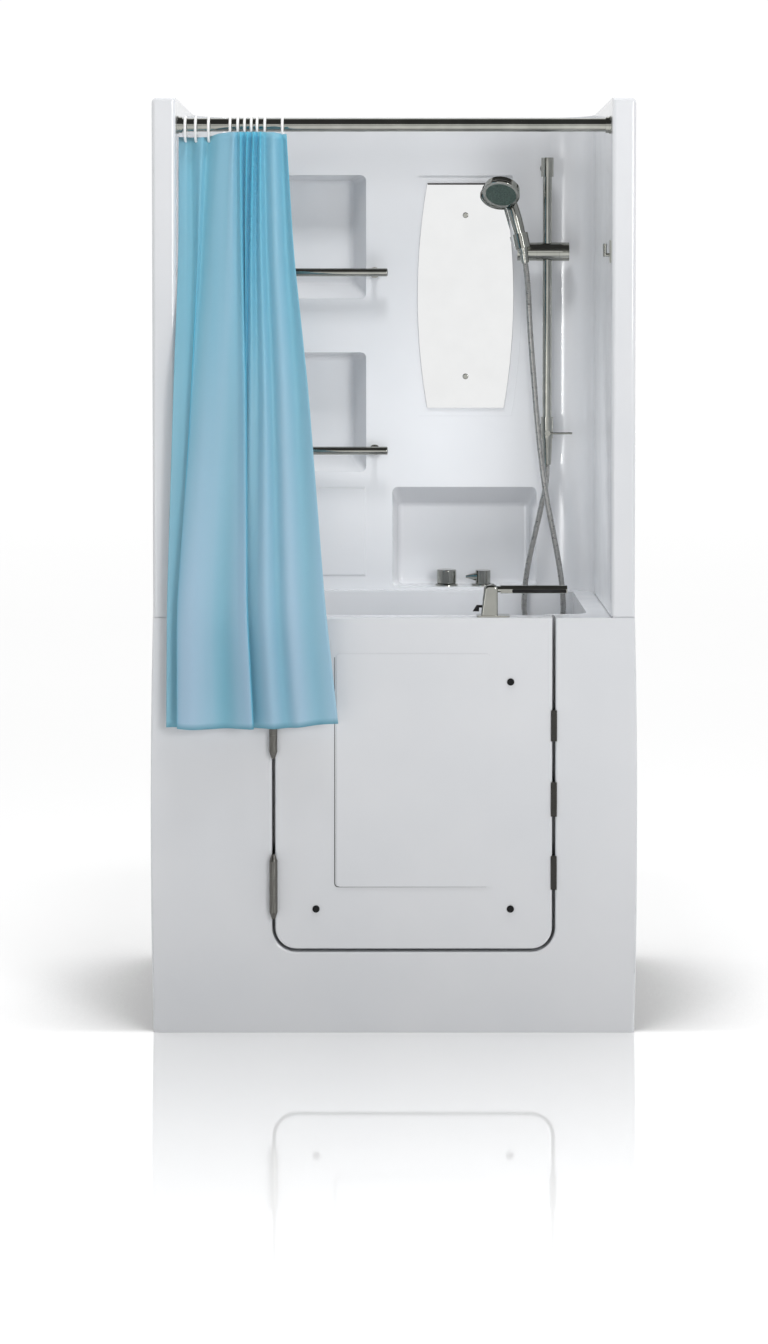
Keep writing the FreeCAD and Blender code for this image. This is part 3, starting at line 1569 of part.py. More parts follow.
def all_parts():
    """Each piece by its name."""
    return {
        "tub_shell": make_tub_shell(),
        "front_apron": make_front_apron(),
        "left_skirt": make_skirt(-1),
        "right_skirt": make_skirt(1),
        "door_jamb": make_door_jamb(),
        "base_frame": make_base_frame(),
        "seat_frame": make_seat_frame(),
        "foot_pads": each_foot(make_foot_pad),
        "foot_studs": each_foot(make_foot_stud),
        "foot_nuts": each_foot(make_foot_nut),
        "door_outer_shell": make_door_outer_shell(),
        "door_inner_shell": make_door_inner_shell(),
        "door_bolts": make_door_bolts(),
        "door_seal": make_door_seal(),
        "hinge_jamb_leaves": make_hinge_jamb_leaves(),
        "hinge_door_leaves": make_hinge_door_leaves(),
        "hinge_pins": make_hinge_pins(),
        "door_bumpers": make_door_bumpers(),
        "latch_tower": make_latch_tower(),
        "latch_pivot_pin": make_latch_pivot_pin(),
        "latch_lever": make_latch_lever(),
        "latch_release": make_latch_release(),
        "left_wall": make_side_wall(-1),
        "right_wall": make_side_wall(1),
        "back_wall": make_back_wall(),
        "mirror": make_mirror(),
        "mirror_screws": make_mirror_screws(),
        "shelf_rails": make_shelf_rails(),
        "rail_posts": make_rail_posts(),
        "curtain_hook": make_curtain_hook(),
        "curtain_rod": make_curtain_rod(),
        "rod_flanges": make_rod_flanges(),
        "curtain_rings": make_curtain_rings(),
        "curtain": make_curtain(),
        "slide_bar": make_slide_bar(),
        "upper_bracket": make_upper_bracket(),
        "lower_bracket": make_lower_bracket(),
        "bracket_nuts": make_bracket_nuts(),
        "shutoff_lever": make_shutoff_lever(),
        "outlet_nut": make_outlet_nut(),
        "slider_clamp": make_slider_clamp(),
        "slider_knob": make_slider_knob(),
        "handset_holder": make_handset_holder(),
        "handset_body": make_handset_body(),
        "spray_face": make_spray_face(),
        "spray_ring": make_spray_ring(),
        "handset_nut": make_handset_nut(),
        "shower_hose_top": make_shower_hose_top(),
        "shower_hose": make_shower_hose(),
        "mixer_valve": make_mixer_valve(),
        "tap_roses": make_tap_roses(),
        "diverter_knob": make_diverter_knob(),
        "mixer_lever": make_mixer_lever(),
        "riser_pipe": make_riser_pipe(),
        "drain_flange": make_drain_flange(),
        "drain_plug": make_drain_plug(),
        "waste_trap": make_waste_trap(),
        "overflow_plate": make_overflow_plate(),
        "overflow_knob": make_overflow_knob(),
        "overflow_pipe": make_overflow_pipe(),
    }


os.makedirs("parts", exist_ok=True)
for node, shape in all_parts().items():
    shape.exportStep("parts/" + node + ".step")
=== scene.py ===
"""Looks of the walk-in tub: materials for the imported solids, the hose, the curtain and small trim.

Lengths are in metres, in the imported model's frame: X to the right, Y to the back, Z up.
"""

import bpy
import json
import math
import numpy as np
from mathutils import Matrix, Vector


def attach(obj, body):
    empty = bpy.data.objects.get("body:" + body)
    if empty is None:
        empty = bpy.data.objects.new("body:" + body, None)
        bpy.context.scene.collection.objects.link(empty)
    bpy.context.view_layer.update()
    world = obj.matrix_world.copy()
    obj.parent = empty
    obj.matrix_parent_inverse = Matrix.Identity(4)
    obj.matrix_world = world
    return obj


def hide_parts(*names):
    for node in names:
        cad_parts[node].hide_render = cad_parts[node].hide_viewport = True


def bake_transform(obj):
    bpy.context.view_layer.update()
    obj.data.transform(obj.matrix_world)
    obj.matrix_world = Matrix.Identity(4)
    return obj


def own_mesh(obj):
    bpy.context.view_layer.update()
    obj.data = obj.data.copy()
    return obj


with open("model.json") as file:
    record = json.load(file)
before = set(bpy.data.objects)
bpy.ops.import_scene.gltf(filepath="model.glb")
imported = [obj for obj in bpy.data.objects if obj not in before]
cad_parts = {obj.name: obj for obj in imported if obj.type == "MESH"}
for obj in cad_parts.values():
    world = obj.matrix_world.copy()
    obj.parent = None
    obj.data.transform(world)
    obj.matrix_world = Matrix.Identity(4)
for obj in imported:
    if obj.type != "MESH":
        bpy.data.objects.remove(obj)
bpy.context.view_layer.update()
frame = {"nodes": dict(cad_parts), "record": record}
nodes = frame["nodes"]

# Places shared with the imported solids
BAR_X = 0.372
BAR_Y = 0.240
RIM_Z = 0.930
ROD_Y = -0.285

# Camera
EYE = (0.0, -6.33, 1.608)
PITCH = math.radians(1.9)
LENS_MM = 72.45
SENSOR_MM = 36.0
SHIFT_X = -0.0074
SHIFT_Y = -0.2003

# Floor: its shine fades to the sides and front, and painted shadow darkens its colour beside and behind
# the object
FLOOR_REACH = 30.0
FLOOR_SHINY_X = 0.58
FLOOR_DULL_X = 0.84
FLOOR_SHINY_Y = -0.35
FLOOR_DULL_Y = -1.9
FLOOR_BEHIND_Y = -0.30
FLOOR_SHINE = 0.5
FLOOR_BEHIND_SHARE = 0.02
FLOOR_GLOW = 0.07
FLOOR_SHADOW_REACH = 0.5
FLOOR_SHADOW_RANGE = (0.5, 1.0)
FLOOR_SHADOW_TINT = (0.30, 0.30, 0.30)

# Studio: dark stretches for metal to reflect, each set by the ranges over which a direction enters it
WORLD_DARK = 0.06
RIGHT_SHADE_SHARE = 0.6
WORLD_STRENGTH = 1.03
FRONT_Y = (-0.55, -0.10)
BEHIND_Y = (0.30, 0.55)
LEFT_X = (-0.50, -0.34)
RIGHT_X = (0.42, 0.58)
HIGH_START_Z = (0.08, 0.22)
HIGH_END_Z = (0.80, 0.97)
ROOF_Z = (0.55, 0.75)

# Lights: place, target, width and height, and power in watts
RIGHT_KEY = ((2.5, -5.0, 2.2), (0.0, 0.0, 1.2), (1.4, 1.4), 86.0)
LEFT_KEY = ((-2.6, -5.2, 0.9), (0.0, 0.0, 0.6), (1.2, 1.2), 14.0)
FRONT_LIGHT = ((0.0, -1.15, 4.4), (0.0, -0.2, 0.0), (0.6, 0.5), 46.0)
INNER_FILL = ((0.15, -0.22, 1.25), (0.15, 0.40, 1.05), (0.5, 0.5), 1.5)
CORNER_STRIP = ((-2.2, -4.6, 1.42), (0.4, 0.25, 1.4), (0.35, 1.1), 80.0)

# First direction of the points round a tube
TUBE_SIDE = (1.0, 0.3, 0.1)

# Hose: radius, ribs, and its route from the handset's nut to the outlet nut. HOSE_ROUTE is measured from
# the slide bar at the rim's height. The hanging loop starts after HOSE_TURN_SPAN spans.
HOSE_RADIUS = 0.007
HOSE_RIB_PITCH = 0.0055
HOSE_RIB_DEPTH = 0.0007
HOSE_SIDES = 14
HOSE_STEPS = 44
HOSE_TOP_STEPS = 60
HOSE_START = (0.31722, 0.21279, 1.72927)
HOSE_FIRST = (0.32380, 0.21032, 1.68482)
HOSE_SPLIT_SHARE = 0.5
HOSE_ROUTE = (
    (-0.044, -0.030, 0.645),
    (-0.034, -0.033, 0.520),
    (-0.025, -0.035, 0.405),
    (-0.014, -0.036, 0.305),
    (-0.001, -0.037, 0.220),
    (0.015, -0.038, 0.140),
    (0.029, -0.038, 0.065),
    (0.038, -0.037, -0.005),
    (0.0385, -0.032, -0.065),
    (0.011, -0.0245, -0.093),
    (-0.028, -0.016, -0.093),
    (-0.0555, -0.008, -0.065),
    (-0.0555, -0.002, -0.005),
    (-0.046, 0.001, 0.065),
    (-0.031, 0.002, 0.130),
    (-0.016, 0.002, 0.195),
)
HOSE_LAST = (BAR_X, BAR_Y, 1.195)
HOSE_END = (BAR_X, BAR_Y, 1.240)
HOSE_TURN_SPAN = 9

# Curtain: heights, side edges and depth at five levels
CURTAIN_LEVELS = (2.009, 1.740, 1.440, 0.960, 0.688)
CURTAIN_LEFTS = (-0.480, -0.479, -0.487, -0.503, -0.505)
CURTAIN_RIGHTS = (-0.238, -0.221, -0.188, -0.152, -0.123)
CURTAIN_DEPTHS = (-0.285, -0.314, -0.371, -0.372, -0.374)

# Folds: depths at the top, from edge to edge through the rings and the swings between them,
# then the hem's shares of the width and depths in the same order
RING_PLACES = (-0.464, -0.441, -0.412, -0.364, -0.347, -0.332, -0.317, -0.304, -0.287, -0.248)
TOP_DEPTHS = (
    0.000, 0.000, 0.007, 0.000, -0.009, 0.000, -0.020, -0.030, -0.036, -0.030, -0.044,
    -0.030, -0.046, -0.030, -0.046, -0.030, -0.046, -0.030, -0.044, -0.026, -0.044,
)
HEM_FOLDS = (
    (0.000, 0.013), (0.055, 0.016), (0.125, 0.010), (0.132, 0.003), (0.080, -0.003),
    (0.073, -0.010), (0.155, -0.014), (0.258, -0.004), (0.350, 0.007), (0.437, -0.006),
    (0.496, -0.015), (0.510, -0.008), (0.472, -0.001), (0.460, 0.008), (0.502, 0.012),
    (0.566, 0.000), (0.630, -0.011), (0.704, 0.004), (0.780, -0.009), (0.890, 0.002), (1.000, -0.012),
)
TOP_DROPS = ((0.00, 0.009), (0.25, 0.010), (0.42, 0.000), (0.85, 0.000), (1.00, 0.005))
HEM_RISES = ((0.00, 0.002), (0.08, 0.002), (0.11, 0.000), (0.70, 0.002), (1.00, 0.014))

# How the folds fan out towards the hem, and the sheet's mesh
FAN_RATE = 1.25
FAN_POWER = 0.8
CURTAIN_SPAN_STEPS = 7
CURTAIN_ROWS = 96
CURTAIN_SOFTENING = 18
CURTAIN_THICKNESS = 0.0008

# Cloth colour, with painted shade in its gathers and valleys: columns compared for gathers and valleys,
# and the fall over which it pales
GATHER_REACH = 6
GATHER_RANGE = (1.05, 2.3)
VALLEY_REACH = 36
VALLEY_DEPTH = 0.028
PALE_FALL = (0.25, 1.15)

# Curtain rings
RING_CENTRE_Z = 2.0173
RING_RADIUS = 0.0275
RING_HALF_THICKNESS = 0.0025
RING_HALF_WIDTH = 0.003
RING_STEPS = 40
RING_SIDES = 10

# Painted shadow line along the left and lower edge of the door's panel, where shade falls, with its radius
# at the top, corner and end
SHADOW_LINE_X = -0.1322
SHADOW_LINE_Y = -0.3304
SHADOW_LINE_Z = 0.3277
SHADOW_LINE_TOP_Z = 0.842
SHADOW_LINE_RIGHT_X = 0.206
SHADOW_LINE_CORNER = 0.008
SHADOW_LINE_CORNER_STEPS = 6
SHADOW_LINE_RADII = (0.0005, 0.0009, 0.0004)
SHADOW_LINE_SIDES = 8

# Strips: left, right, low and high side, corner radius, and layers of depth and inset to the front
STRIP_CORNER_STEPS = 5
# Painted reflection: a dark strip where the lever's front face reflects dark surroundings
LEVER_REFLECTION_BOX = (0.264, 0.385, 0.9836, 0.9918)
LEVER_REFLECTION_CORNER = 0.0025
LEVER_REFLECTION_LAYERS = ((-0.3095, 0.0), (-0.3104, 0.0), (-0.3108, 0.0004))
MIRROR_EDGE_BOX = (0.082, 0.268, 1.9214, 1.9252)
MIRROR_EDGE_CORNER = 0.0012
MIRROR_EDGE_LAYERS = ((0.2975, 0.0), (0.2936, 0.0), (0.2933, 0.0003))

# Spray nozzles: rings of (radius, count), and layers as shares of a nozzle's height and radius
FACE_CENTRE = (0.2575, 0.1875, 1.892)
FACE_NORMAL = (-0.17, -0.64, -0.75)
NOZZLE_RINGS = ((0.008, 6), (0.0155, 12), (0.023, 18), (0.0305, 24))
NOZZLE_RADIUS = 0.0014
NOZZLE_HEIGHT = 0.0013
NOZZLE_LAYER_SHARES = ((-0.2, 1.0), (0.6, 1.0), (1.0, 0.6))
NOZZLE_SIDES = 8


# Material helpers
def material(name):
    """A node material with its shader, ready for its sockets to be set."""
    made = bpy.data.materials.new(name)
    made.use_nodes = True
    tree = made.node_tree
    return made, tree, tree.nodes["Principled BSDF"]


def set_sockets(node, **values):
    for name, value in values.items():
        node.inputs[name.replace("_", " ")].default_value = value


def rgba(colour):
    return (*colour, 1.0)


def coordinates(tree, stretch):
    """Object coordinates, stretched along the axes."""
    place = tree.nodes.new("ShaderNodeTexCoord")
    mapping = tree.nodes.new("ShaderNodeMapping")
    mapping.inputs["Scale"].default_value = stretch
    tree.links.new(place.outputs["Object"], mapping.inputs["Vector"])
    return mapping.outputs["Vector"]


def noise(tree, scale, detail, stretch=(1.0, 1.0, 1.0)):
    made = tree.nodes.new("ShaderNodeTexNoise")
    made.inputs["Scale"].default_value = scale
    made.inputs["Detail"].default_value = detail
    tree.links.new(coordinates(tree, stretch), made.inputs["Vector"])
    return made.outputs["Fac"]


def between(tree, factor, low, high):
    """A number that follows a texture between two values."""
    made = tree.nodes.new("ShaderNodeMapRange")
    made.inputs["To Min"].default_value = low
    made.inputs["To Max"].default_value = high
    tree.links.new(factor, made.inputs["Value"])
    return made.outputs["Result"]


def colours(tree, factor, *stops):
    """A colour that follows a texture through stops of (place, colour)."""
    made = tree.nodes.new("ShaderNodeValToRGB")
    ramp = made.color_ramp
    while len(ramp.elements) < len(stops):
        ramp.elements.new(0.5)
    for element, (place, colour) in zip(ramp.elements, stops):
        element.position = place
        element.color = rgba(colour)
    tree.links.new(factor, made.inputs["Fac"])
    return made.outputs["Color"]


def eased(tree, value, low, high, at_low, at_high):
    """A number that eases from one value to another while its input goes from low to high."""
    made = tree.nodes.new("ShaderNodeMapRange")
    made.interpolation_type = "SMOOTHSTEP"
    made.inputs["From Min"].default_value = low
    made.inputs["From Max"].default_value = high
    made.inputs["To Min"].default_value = at_low
    made.inputs["To Max"].default_value = at_high
    tree.links.new(value, made.inputs["Value"])
    return made.outputs["Result"]


def reckoned(tree, operation, first, second):
    """Two numbers put together by a sum that the operation names."""
    made = tree.nodes.new("ShaderNodeMath")
    made.operation = operation
    tree.links.new(first, made.inputs[0])
    tree.links.new(second, made.inputs[1])
    return made.outputs["Value"]


def times(tree, first, second):
    return reckoned(tree, "MULTIPLY", first, second)


def highest(tree, first, second):
    return reckoned(tree, "MAXIMUM", first, second)


def painted(tree, name):
    """A number that the mesh holds at each point."""
    made = tree.nodes.new("ShaderNodeAttribute")
    made.attribute_name = name
    return made.outputs["Fac"]


def mixed(tree, factor, first, second):
    """The first colour, going over to the second, a colour or a socket, as the factor rises."""
    made = tree.nodes.new("ShaderNodeMix")
    made.data_type = "RGBA"
    tree.links.new(factor, made.inputs["Factor"])
    tree.links.new(first, made.inputs["A"])
    if isinstance(second, tuple):
        made.inputs["B"].default_value = rgba(second)
    else:
        tree.links.new(second, made.inputs["B"])
    return made.outputs["Result"]


def tint(tree, shader, factor, *stops):
    """Paints a shader with a colour that follows a texture."""
    tree.links.new(colours(tree, factor, *stops), shader.inputs["Base Color"])


def polish(tree, shader, factor, low, high):
    """Lets a shader's roughness follow a texture."""
    tree.links.new(between(tree, factor, low, high), shader.inputs["Roughness"])


def bumps(tree, shader, height, strength, distance):
    made = tree.nodes.new("ShaderNodeBump")
    made.inputs["Strength"].default_value = strength
    made.inputs["Distance"].default_value = distance
    tree.links.new(height, made.inputs["Height"])
    tree.links.new(made.outputs["Normal"], shader.inputs["Normal"])


# Materials, one for each slot of the record
def acrylic():
    made, tree, shader = material("acrylic")
    cloud = noise(tree, 3.0, 3.0)
    tint(tree, shader, cloud, (0.3, (0.66, 0.675, 0.70)), (0.7, (0.70, 0.71, 0.73)))
    polish(tree, shader, noise(tree, 9.0, 4.0), 0.16, 0.30)
    bumps(tree, shader, noise(tree, 160.0, 2.0), 0.015, 0.001)
    set_sockets(shader, IOR=1.49, Coat_Weight=0.4, Coat_Roughness=0.08)
    return made


def frame_steel():
    made, tree, shader = material("frame_steel")
    cells = tree.nodes.new("ShaderNodeTexVoronoi")
    cells.inputs["Scale"].default_value = 90.0
    tree.links.new(coordinates(tree, (1.0, 1.0, 1.0)), cells.inputs["Vector"])
    spangle = cells.outputs["Distance"]
    tint(tree, shader, spangle, (0.1, (0.42, 0.43, 0.44)), (0.8, (0.62, 0.63, 0.64)))
    polish(tree, shader, spangle, 0.34, 0.55)
    set_sockets(shader, Metallic=0.9)
    return made


def black_rubber():
    made, tree, shader = material("black_rubber")
    grain = noise(tree, 700.0, 3.0)
    tint(tree, shader, grain, (0.3, (0.016, 0.015, 0.013)), (0.8, (0.046, 0.043, 0.037)))
    bumps(tree, shader, grain, 0.25, 0.0004)
    set_sockets(shader, Roughness=0.72)
    return made


def black_plastic():
    made, tree, shader = material("black_plastic")
    grain = noise(tree, 900.0, 2.0)
    tint(tree, shader, noise(tree, 30.0, 2.0), (0.3, (0.004, 0.004, 0.004)), (0.8, (0.012, 0.012, 0.013)))
    bumps(tree, shader, grain, 0.12, 0.0003)
    set_sockets(shader, Roughness=0.5, Specular_IOR_Level=0.2)
    return made


def hinge_steel():
    made, tree, shader = material("hinge_steel")
    brushed = noise(tree, 60.0, 4.0, (14.0, 14.0, 0.6))
    tint(tree, shader, brushed, (0.25, (0.085, 0.083, 0.075)), (0.8, (0.22, 0.215, 0.20)))
    polish(tree, shader, brushed, 0.26, 0.44)
    set_sockets(shader, Metallic=1.0)
    return made


def chrome():
    made, tree, shader = material("chrome")
    smudge = noise(tree, 22.0, 4.0)
    tint(tree, shader, smudge, (0.3, (0.335, 0.34, 0.31)), (0.8, (0.44, 0.44, 0.405)))
    polish(tree, shader, smudge, 0.04, 0.13)
    set_sockets(shader, Metallic=1.0)
    return made


def hose_metal():
    made, tree, shader = material("hose_metal")
    scuff = noise(tree, 120.0, 4.0)
    tint(tree, shader, scuff, (0.3, (0.36, 0.355, 0.34)), (0.8, (0.58, 0.57, 0.55)))
    polish(tree, shader, scuff, 0.20, 0.40)
    set_sockets(shader, Metallic=1.0)
    return made


def spray_plastic():
    made, tree, shader = material("spray_plastic")
    grain = noise(tree, 260.0, 3.0)
    tint(tree, shader, grain, (0.3, (0.045, 0.075, 0.064)), (0.8, (0.10, 0.145, 0.125)))
    bumps(tree, shader, grain, 0.1, 0.0003)
    set_sockets(shader, Roughness=0.42)
    return made


def ring_plastic():
    made, tree, shader = material("ring_plastic")
    cloud = noise(tree, 80.0, 2.0)
    tint(tree, shader, cloud, (0.3, (0.80, 0.80, 0.795)), (0.8, (0.88, 0.88, 0.875)))
    polish(tree, shader, cloud, 0.25, 0.4)
    return made


def curtain_cloth():
    """Sheer cloth: long streaks of uneven dye, painted shade in the valleys of its folds and a deeper
    painted shade where it gathers, a fine weave and a hem.
    """
    made, tree, shader = material("curtain_cloth")
    flat = tree.nodes.new("ShaderNodeUVMap")
    flat.uv_map = "flat"
    stretch = tree.nodes.new("ShaderNodeMapping")
    stretch.inputs["Scale"].default_value = (22.0, 0.7, 1.0)
    tree.links.new(flat.outputs["UV"], stretch.inputs["Vector"])
    dye = tree.nodes.new("ShaderNodeTexNoise")
    dye.inputs["Scale"].default_value = 1.0
    dye.inputs["Detail"].default_value = 2.5
    tree.links.new(stretch.outputs["Vector"], dye.inputs["Vector"])
    upper = colours(tree, dye.outputs["Fac"], (0.32, (0.190, 0.455, 0.610)), (0.66, (0.280, 0.505, 0.665)))
    lower = colours(tree, dye.outputs["Fac"], (0.32, (0.340, 0.570, 0.745)), (0.66, (0.430, 0.610, 0.790)))
    fall = tree.nodes.new("ShaderNodeSeparateXYZ")
    tree.links.new(flat.outputs["UV"], fall.inputs["Vector"])
    streaks = mixed(tree, eased(tree, fall.outputs["Y"], *PALE_FALL, 0.0, 1.0), upper, lower)
    # Painted shade: the valleys of the folds take a darker colour
    valley_shaded = mixed(tree, painted(tree, "valley"), streaks, (0.155, 0.450, 0.585))
    # Painted shade: where the cloth gathers into overlapping folds it takes a deeper cyan
    gathered = mixed(tree, painted(tree, "gather"), valley_shaded, (0.080, 0.455, 0.660))
    hemmed = mixed(tree, painted(tree, "hem"), gathered, (0.075, 0.300, 0.420))
    tree.links.new(hemmed, shader.inputs["Base Color"])
    threads = []
    for direction in ("X", "Y"):
        wave = tree.nodes.new("ShaderNodeTexWave")
        wave.bands_direction = direction
        wave.inputs["Scale"].default_value = 420.0
        wave.inputs["Distortion"].default_value = 0.6
        tree.links.new(flat.outputs["UV"], wave.inputs["Vector"])
        threads.append(wave.outputs["Fac"])
    weave = times(tree, *threads)
    bumps(tree, shader, weave, 0.15, 0.0003)
    tree.links.new(between(tree, weave, 0.90, 0.97), shader.inputs["Alpha"])
    set_sockets(shader, Roughness=0.5, Sheen_Weight=0.2, Sheen_Roughness=0.4)
    set_sockets(shader, Subsurface_Weight=0.2, Subsurface_Radius=(0.6, 1.0, 1.0), Subsurface_Scale=0.02)
    return made


def mirror_glass():
    made, tree, shader = material("mirror_glass")
    haze = noise(tree, 14.0, 3.0)
    tint(tree, shader, haze, (0.2, (0.80, 0.805, 0.805)), (0.8, (0.84, 0.845, 0.845)))
    polish(tree, shader, haze, 0.01, 0.035)
    set_sockets(shader, Metallic=1.0)
    return made


def brass():
    made, tree, shader = material("brass")
    tarnish = noise(tree, 40.0, 5.0)
    tint(tree, shader, tarnish, (0.3, (0.36, 0.23, 0.075)), (0.75, (0.62, 0.43, 0.16)))
    polish(tree, shader, tarnish, 0.28, 0.5)
    set_sockets(shader, Metallic=1.0)
    return made


def waste_plastic():
    made, tree, shader = material("waste_plastic")
    cloud = noise(tree, 25.0, 3.0)
    tint(tree, shader, cloud, (0.3, (0.70, 0.70, 0.69)), (0.8, (0.78, 0.78, 0.77)))
    bumps(tree, shader, noise(tree, 500.0, 2.0), 0.06, 0.0004)
    set_sockets(shader, Roughness=0.45)
    return made


makers = (
    acrylic,
    frame_steel,
    black_rubber,
    black_plastic,
    hinge_steel,
    chrome,
    hose_metal,
    spray_plastic,
    ring_plastic,
    curtain_cloth,
    mirror_glass,
    brass,
    waste_plastic,
)
materials = {maker.__name__: maker() for maker in makers}


def dress_solids():
    """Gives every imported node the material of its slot."""
    for row in frame["record"]["subparts"]:
        shown = nodes[row["node"]]
        shown.data.materials.clear()
        shown.data.materials.append(materials[row["material_slot"]])


# Mesh helpers
def add_piece(name, points, faces, slot):
    mesh = bpy.data.meshes.new(name)
    mesh.from_pydata([tuple(point) for point in points], [], faces)
    mesh.materials.append(materials[slot])
    for face in mesh.polygons:
        face.use_smooth = True
    made = bpy.data.objects.new(name, mesh)
    bpy.context.scene.collection.objects.link(made)
    return made


def spline_points(points, steps):
    """Points along the smooth line that the route's points control."""
    curve = bpy.data.curves.new("route", "CURVE")
    curve.dimensions = "3D"
    spline = curve.splines.new("NURBS")
    spline.points.add(len(points) - 1)
    for place, point in zip(spline.points, points):
        place.co = (*point, 1.0)
    spline.order_u = 3
    spline.use_endpoint_u = True
    spline.resolution_u = steps
    holder = bpy.data.objects.new("route", curve)
    bpy.context.scene.collection.objects.link(holder)
    bpy.context.view_layer.update()
    line = bpy.data.meshes.new_from_object(holder)
    found = [vertex.co.copy() for vertex in line.vertices]
    bpy.data.objects.remove(holder)
    bpy.data.meshes.remove(line)
    bpy.data.curves.remove(curve)
    return found


def around(centre, side, other, radius, steps):
    """Points round a circle that holds two directions."""
    angles = [2.0 * math.pi * step / steps for step in range(steps)]
    return [centre + (side * math.cos(angle) + other * math.sin(angle)) * radius for angle in angles]


def add_ring(verts, points):
    """Adds points to a list and gives their places in it."""
    start = len(verts)
    verts.extend(points)
    return range(start, len(verts))


def walls(rings):
    """Faces between each closed ring of points and the next."""
    faces = []
    for low, high in zip(rings, rings[1:]):
        for count in range(len(low)):
            turn = (count + 1) % len(low)
            faces.append((low[count], low[turn], high[turn], high[count]))
    return faces


def capped(rings):
    """Faces of a form through rings of points, closed at both ends."""
    return [*walls(rings), tuple(rings[0])[::-1], tuple(rings[-1])]


def tube(line, radii, sides):
    """Points and faces of a tube along a line, closed at both ends."""
    side = Vector(TUBE_SIDE)
    verts, rings = [], []
    for place, (here, radius) in enumerate(zip(line, radii)):
        before = line[max(place - 1, 0)]
        after = line[min(place + 1, len(line) - 1)]
        ahead = (after - before).normalized()
        side = (side - ahead * side.dot(ahead)).normalized()
        rings.append(add_ring(verts, around(here, side, ahead.cross(side), radius, sides)))
    return verts, capped(rings)


# Hose
def add_hose(name, line, node):
    """A ribbed hose along a line, in place of a CAD node."""
    runs = np.cumsum([0.0] + [(ahead - here).length for here, ahead in zip(line, line[1:])])
    ribs = 0.5 - 0.5 * np.cos(2.0 * math.pi * runs / HOSE_RIB_PITCH)
    verts, faces = tube(line, HOSE_RADIUS - HOSE_RIB_DEPTH * ribs, HOSE_SIDES)
    made = add_piece(name, verts, faces, "hose_metal")
    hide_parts(node)
    return made


def hoses():
    """The loop below the outlet hangs still with the tub; the length above it and the top piece are drawn
    in place.
    """
    route = [(BAR_X + x, BAR_Y + y, RIM_Z + z) for x, y, z in HOSE_ROUTE]
    split = tuple(Vector(HOSE_FIRST).lerp(Vector(route[0]), HOSE_SPLIT_SHARE))
    line = spline_points([split, *route, HOSE_LAST, HOSE_END], HOSE_STEPS)
    turn = HOSE_TURN_SPAN * HOSE_STEPS
    loop = add_hose("hose_loop", line[turn:], "shower_hose")
    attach(loop, "tub")
    rise_line = line[turn::-1]
    rise = add_hose("hose_rise", rise_line, "shower_hose")
    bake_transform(rise)
    top_line = spline_points([HOSE_START, HOSE_FIRST, split], HOSE_TOP_STEPS)
    top = add_hose("hose_top", top_line, "shower_hose_top")
    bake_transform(top)


# Curtain
def smooth_row(values, steps):
    """A smooth line through values, with steps between each two."""
    values = np.array(values, float)
    padded = np.vstack([2.0 * values[0] - values[1], values, 2.0 * values[-1] - values[-2]])
    found = []
    for place in range(len(values) - 1):
        a, b, c, d = padded[place : place + 4]
        square = 2.0 * a - 5.0 * b + 4.0 * c - d
        cube = 3.0 * b - a - 3.0 * c + d
        for step in range(steps):
            t = step / steps
            found.append(0.5 * (2.0 * b + (c - a) * t + square * t**2 + cube * t**3))
    found.append(values[-1])
    return np.array(found)


def top_shares():
    """Places across the curtain's top, as shares of its width: edges, rings and swings between."""
    width = CURTAIN_RIGHTS[0] - CURTAIN_LEFTS[0]
    rings = [(place - CURTAIN_LEFTS[0]) / width for place in RING_PLACES]
    shares = [0.0, rings[0]]
    for before, after in zip(rings, rings[1:]):
        shares.append((before + after) / 2.0)
        shares.append(after)
    shares.append(1.0)
    return np.array(shares)


def curtain_grid():
    """Rows of points from the top edge to the hem."""
    levels = np.array(CURTAIN_LEVELS)[::-1]

    def at_height(values, height):
        return np.interp(height, levels, np.array(values)[::-1])

    top, hem = top_shares(), np.array(HEM_FOLDS)
    drops, rises = np.array(TOP_DROPS), np.array(HEM_RISES)
    rows = []
    for down in np.linspace(0.0, 1.0, CURTAIN_ROWS):
        height = (1.0 - down) * CURTAIN_LEVELS[0] + down * CURTAIN_LEVELS[-1]
        ease = down * down * (3.0 - 2.0 * down)
        fan = min(1.0, FAN_RATE * down) ** FAN_POWER
        shares = (1.0 - fan) * top + fan * hem[:, 0]
        left, right = at_height(CURTAIN_LEFTS, height), at_height(CURTAIN_RIGHTS, height)
        across = left + shares * (right - left)
        depths = at_height(CURTAIN_DEPTHS, height) + (1.0 - ease) * np.array(TOP_DEPTHS) + ease * hem[:, 1]
        drop = (1.0 - down) * np.interp(shares, drops[:, 0], drops[:, 1])
        rise = down * np.interp(shares, rises[:, 0], rises[:, 1])
        line = np.stack([across, depths, height - drop + rise], axis=1)
        rows.append(smooth_row(line, CURTAIN_SPAN_STEPS))
    return np.array(rows)


def smooth_columns(grid):
    """Softens the bends of the side edges and depth between the levels."""
    done = grid.copy()
    for _ in range(CURTAIN_SOFTENING):
        done[1:-1, :, :2] = (done[:-2, :, :2] + 2.0 * done[1:-1, :, :2] + done[2:, :, :2]) / 4.0
    return done


def gathers(grid):
    """How closely the cloth is gathered at each point, from 0, spread, to 1, dense."""
    run = np.cumsum(np.linalg.norm(np.diff(grid, axis=1, prepend=grid[:, :1]), axis=2), axis=1)
    columns = grid.shape[1]
    low = np.maximum(np.arange(columns) - GATHER_REACH, 0)
    high = np.minimum(np.arange(columns) + GATHER_REACH, columns - 1)
    cloth = run[:, high] - run[:, low]
    spread = np.abs(grid[:, high, 0] - grid[:, low, 0])
    dense = cloth / np.maximum(spread, cloth / GATHER_RANGE[1])
    share = (dense - GATHER_RANGE[0]) / (GATHER_RANGE[1] - GATHER_RANGE[0])
    return np.clip(share, 0.0, 1.0)


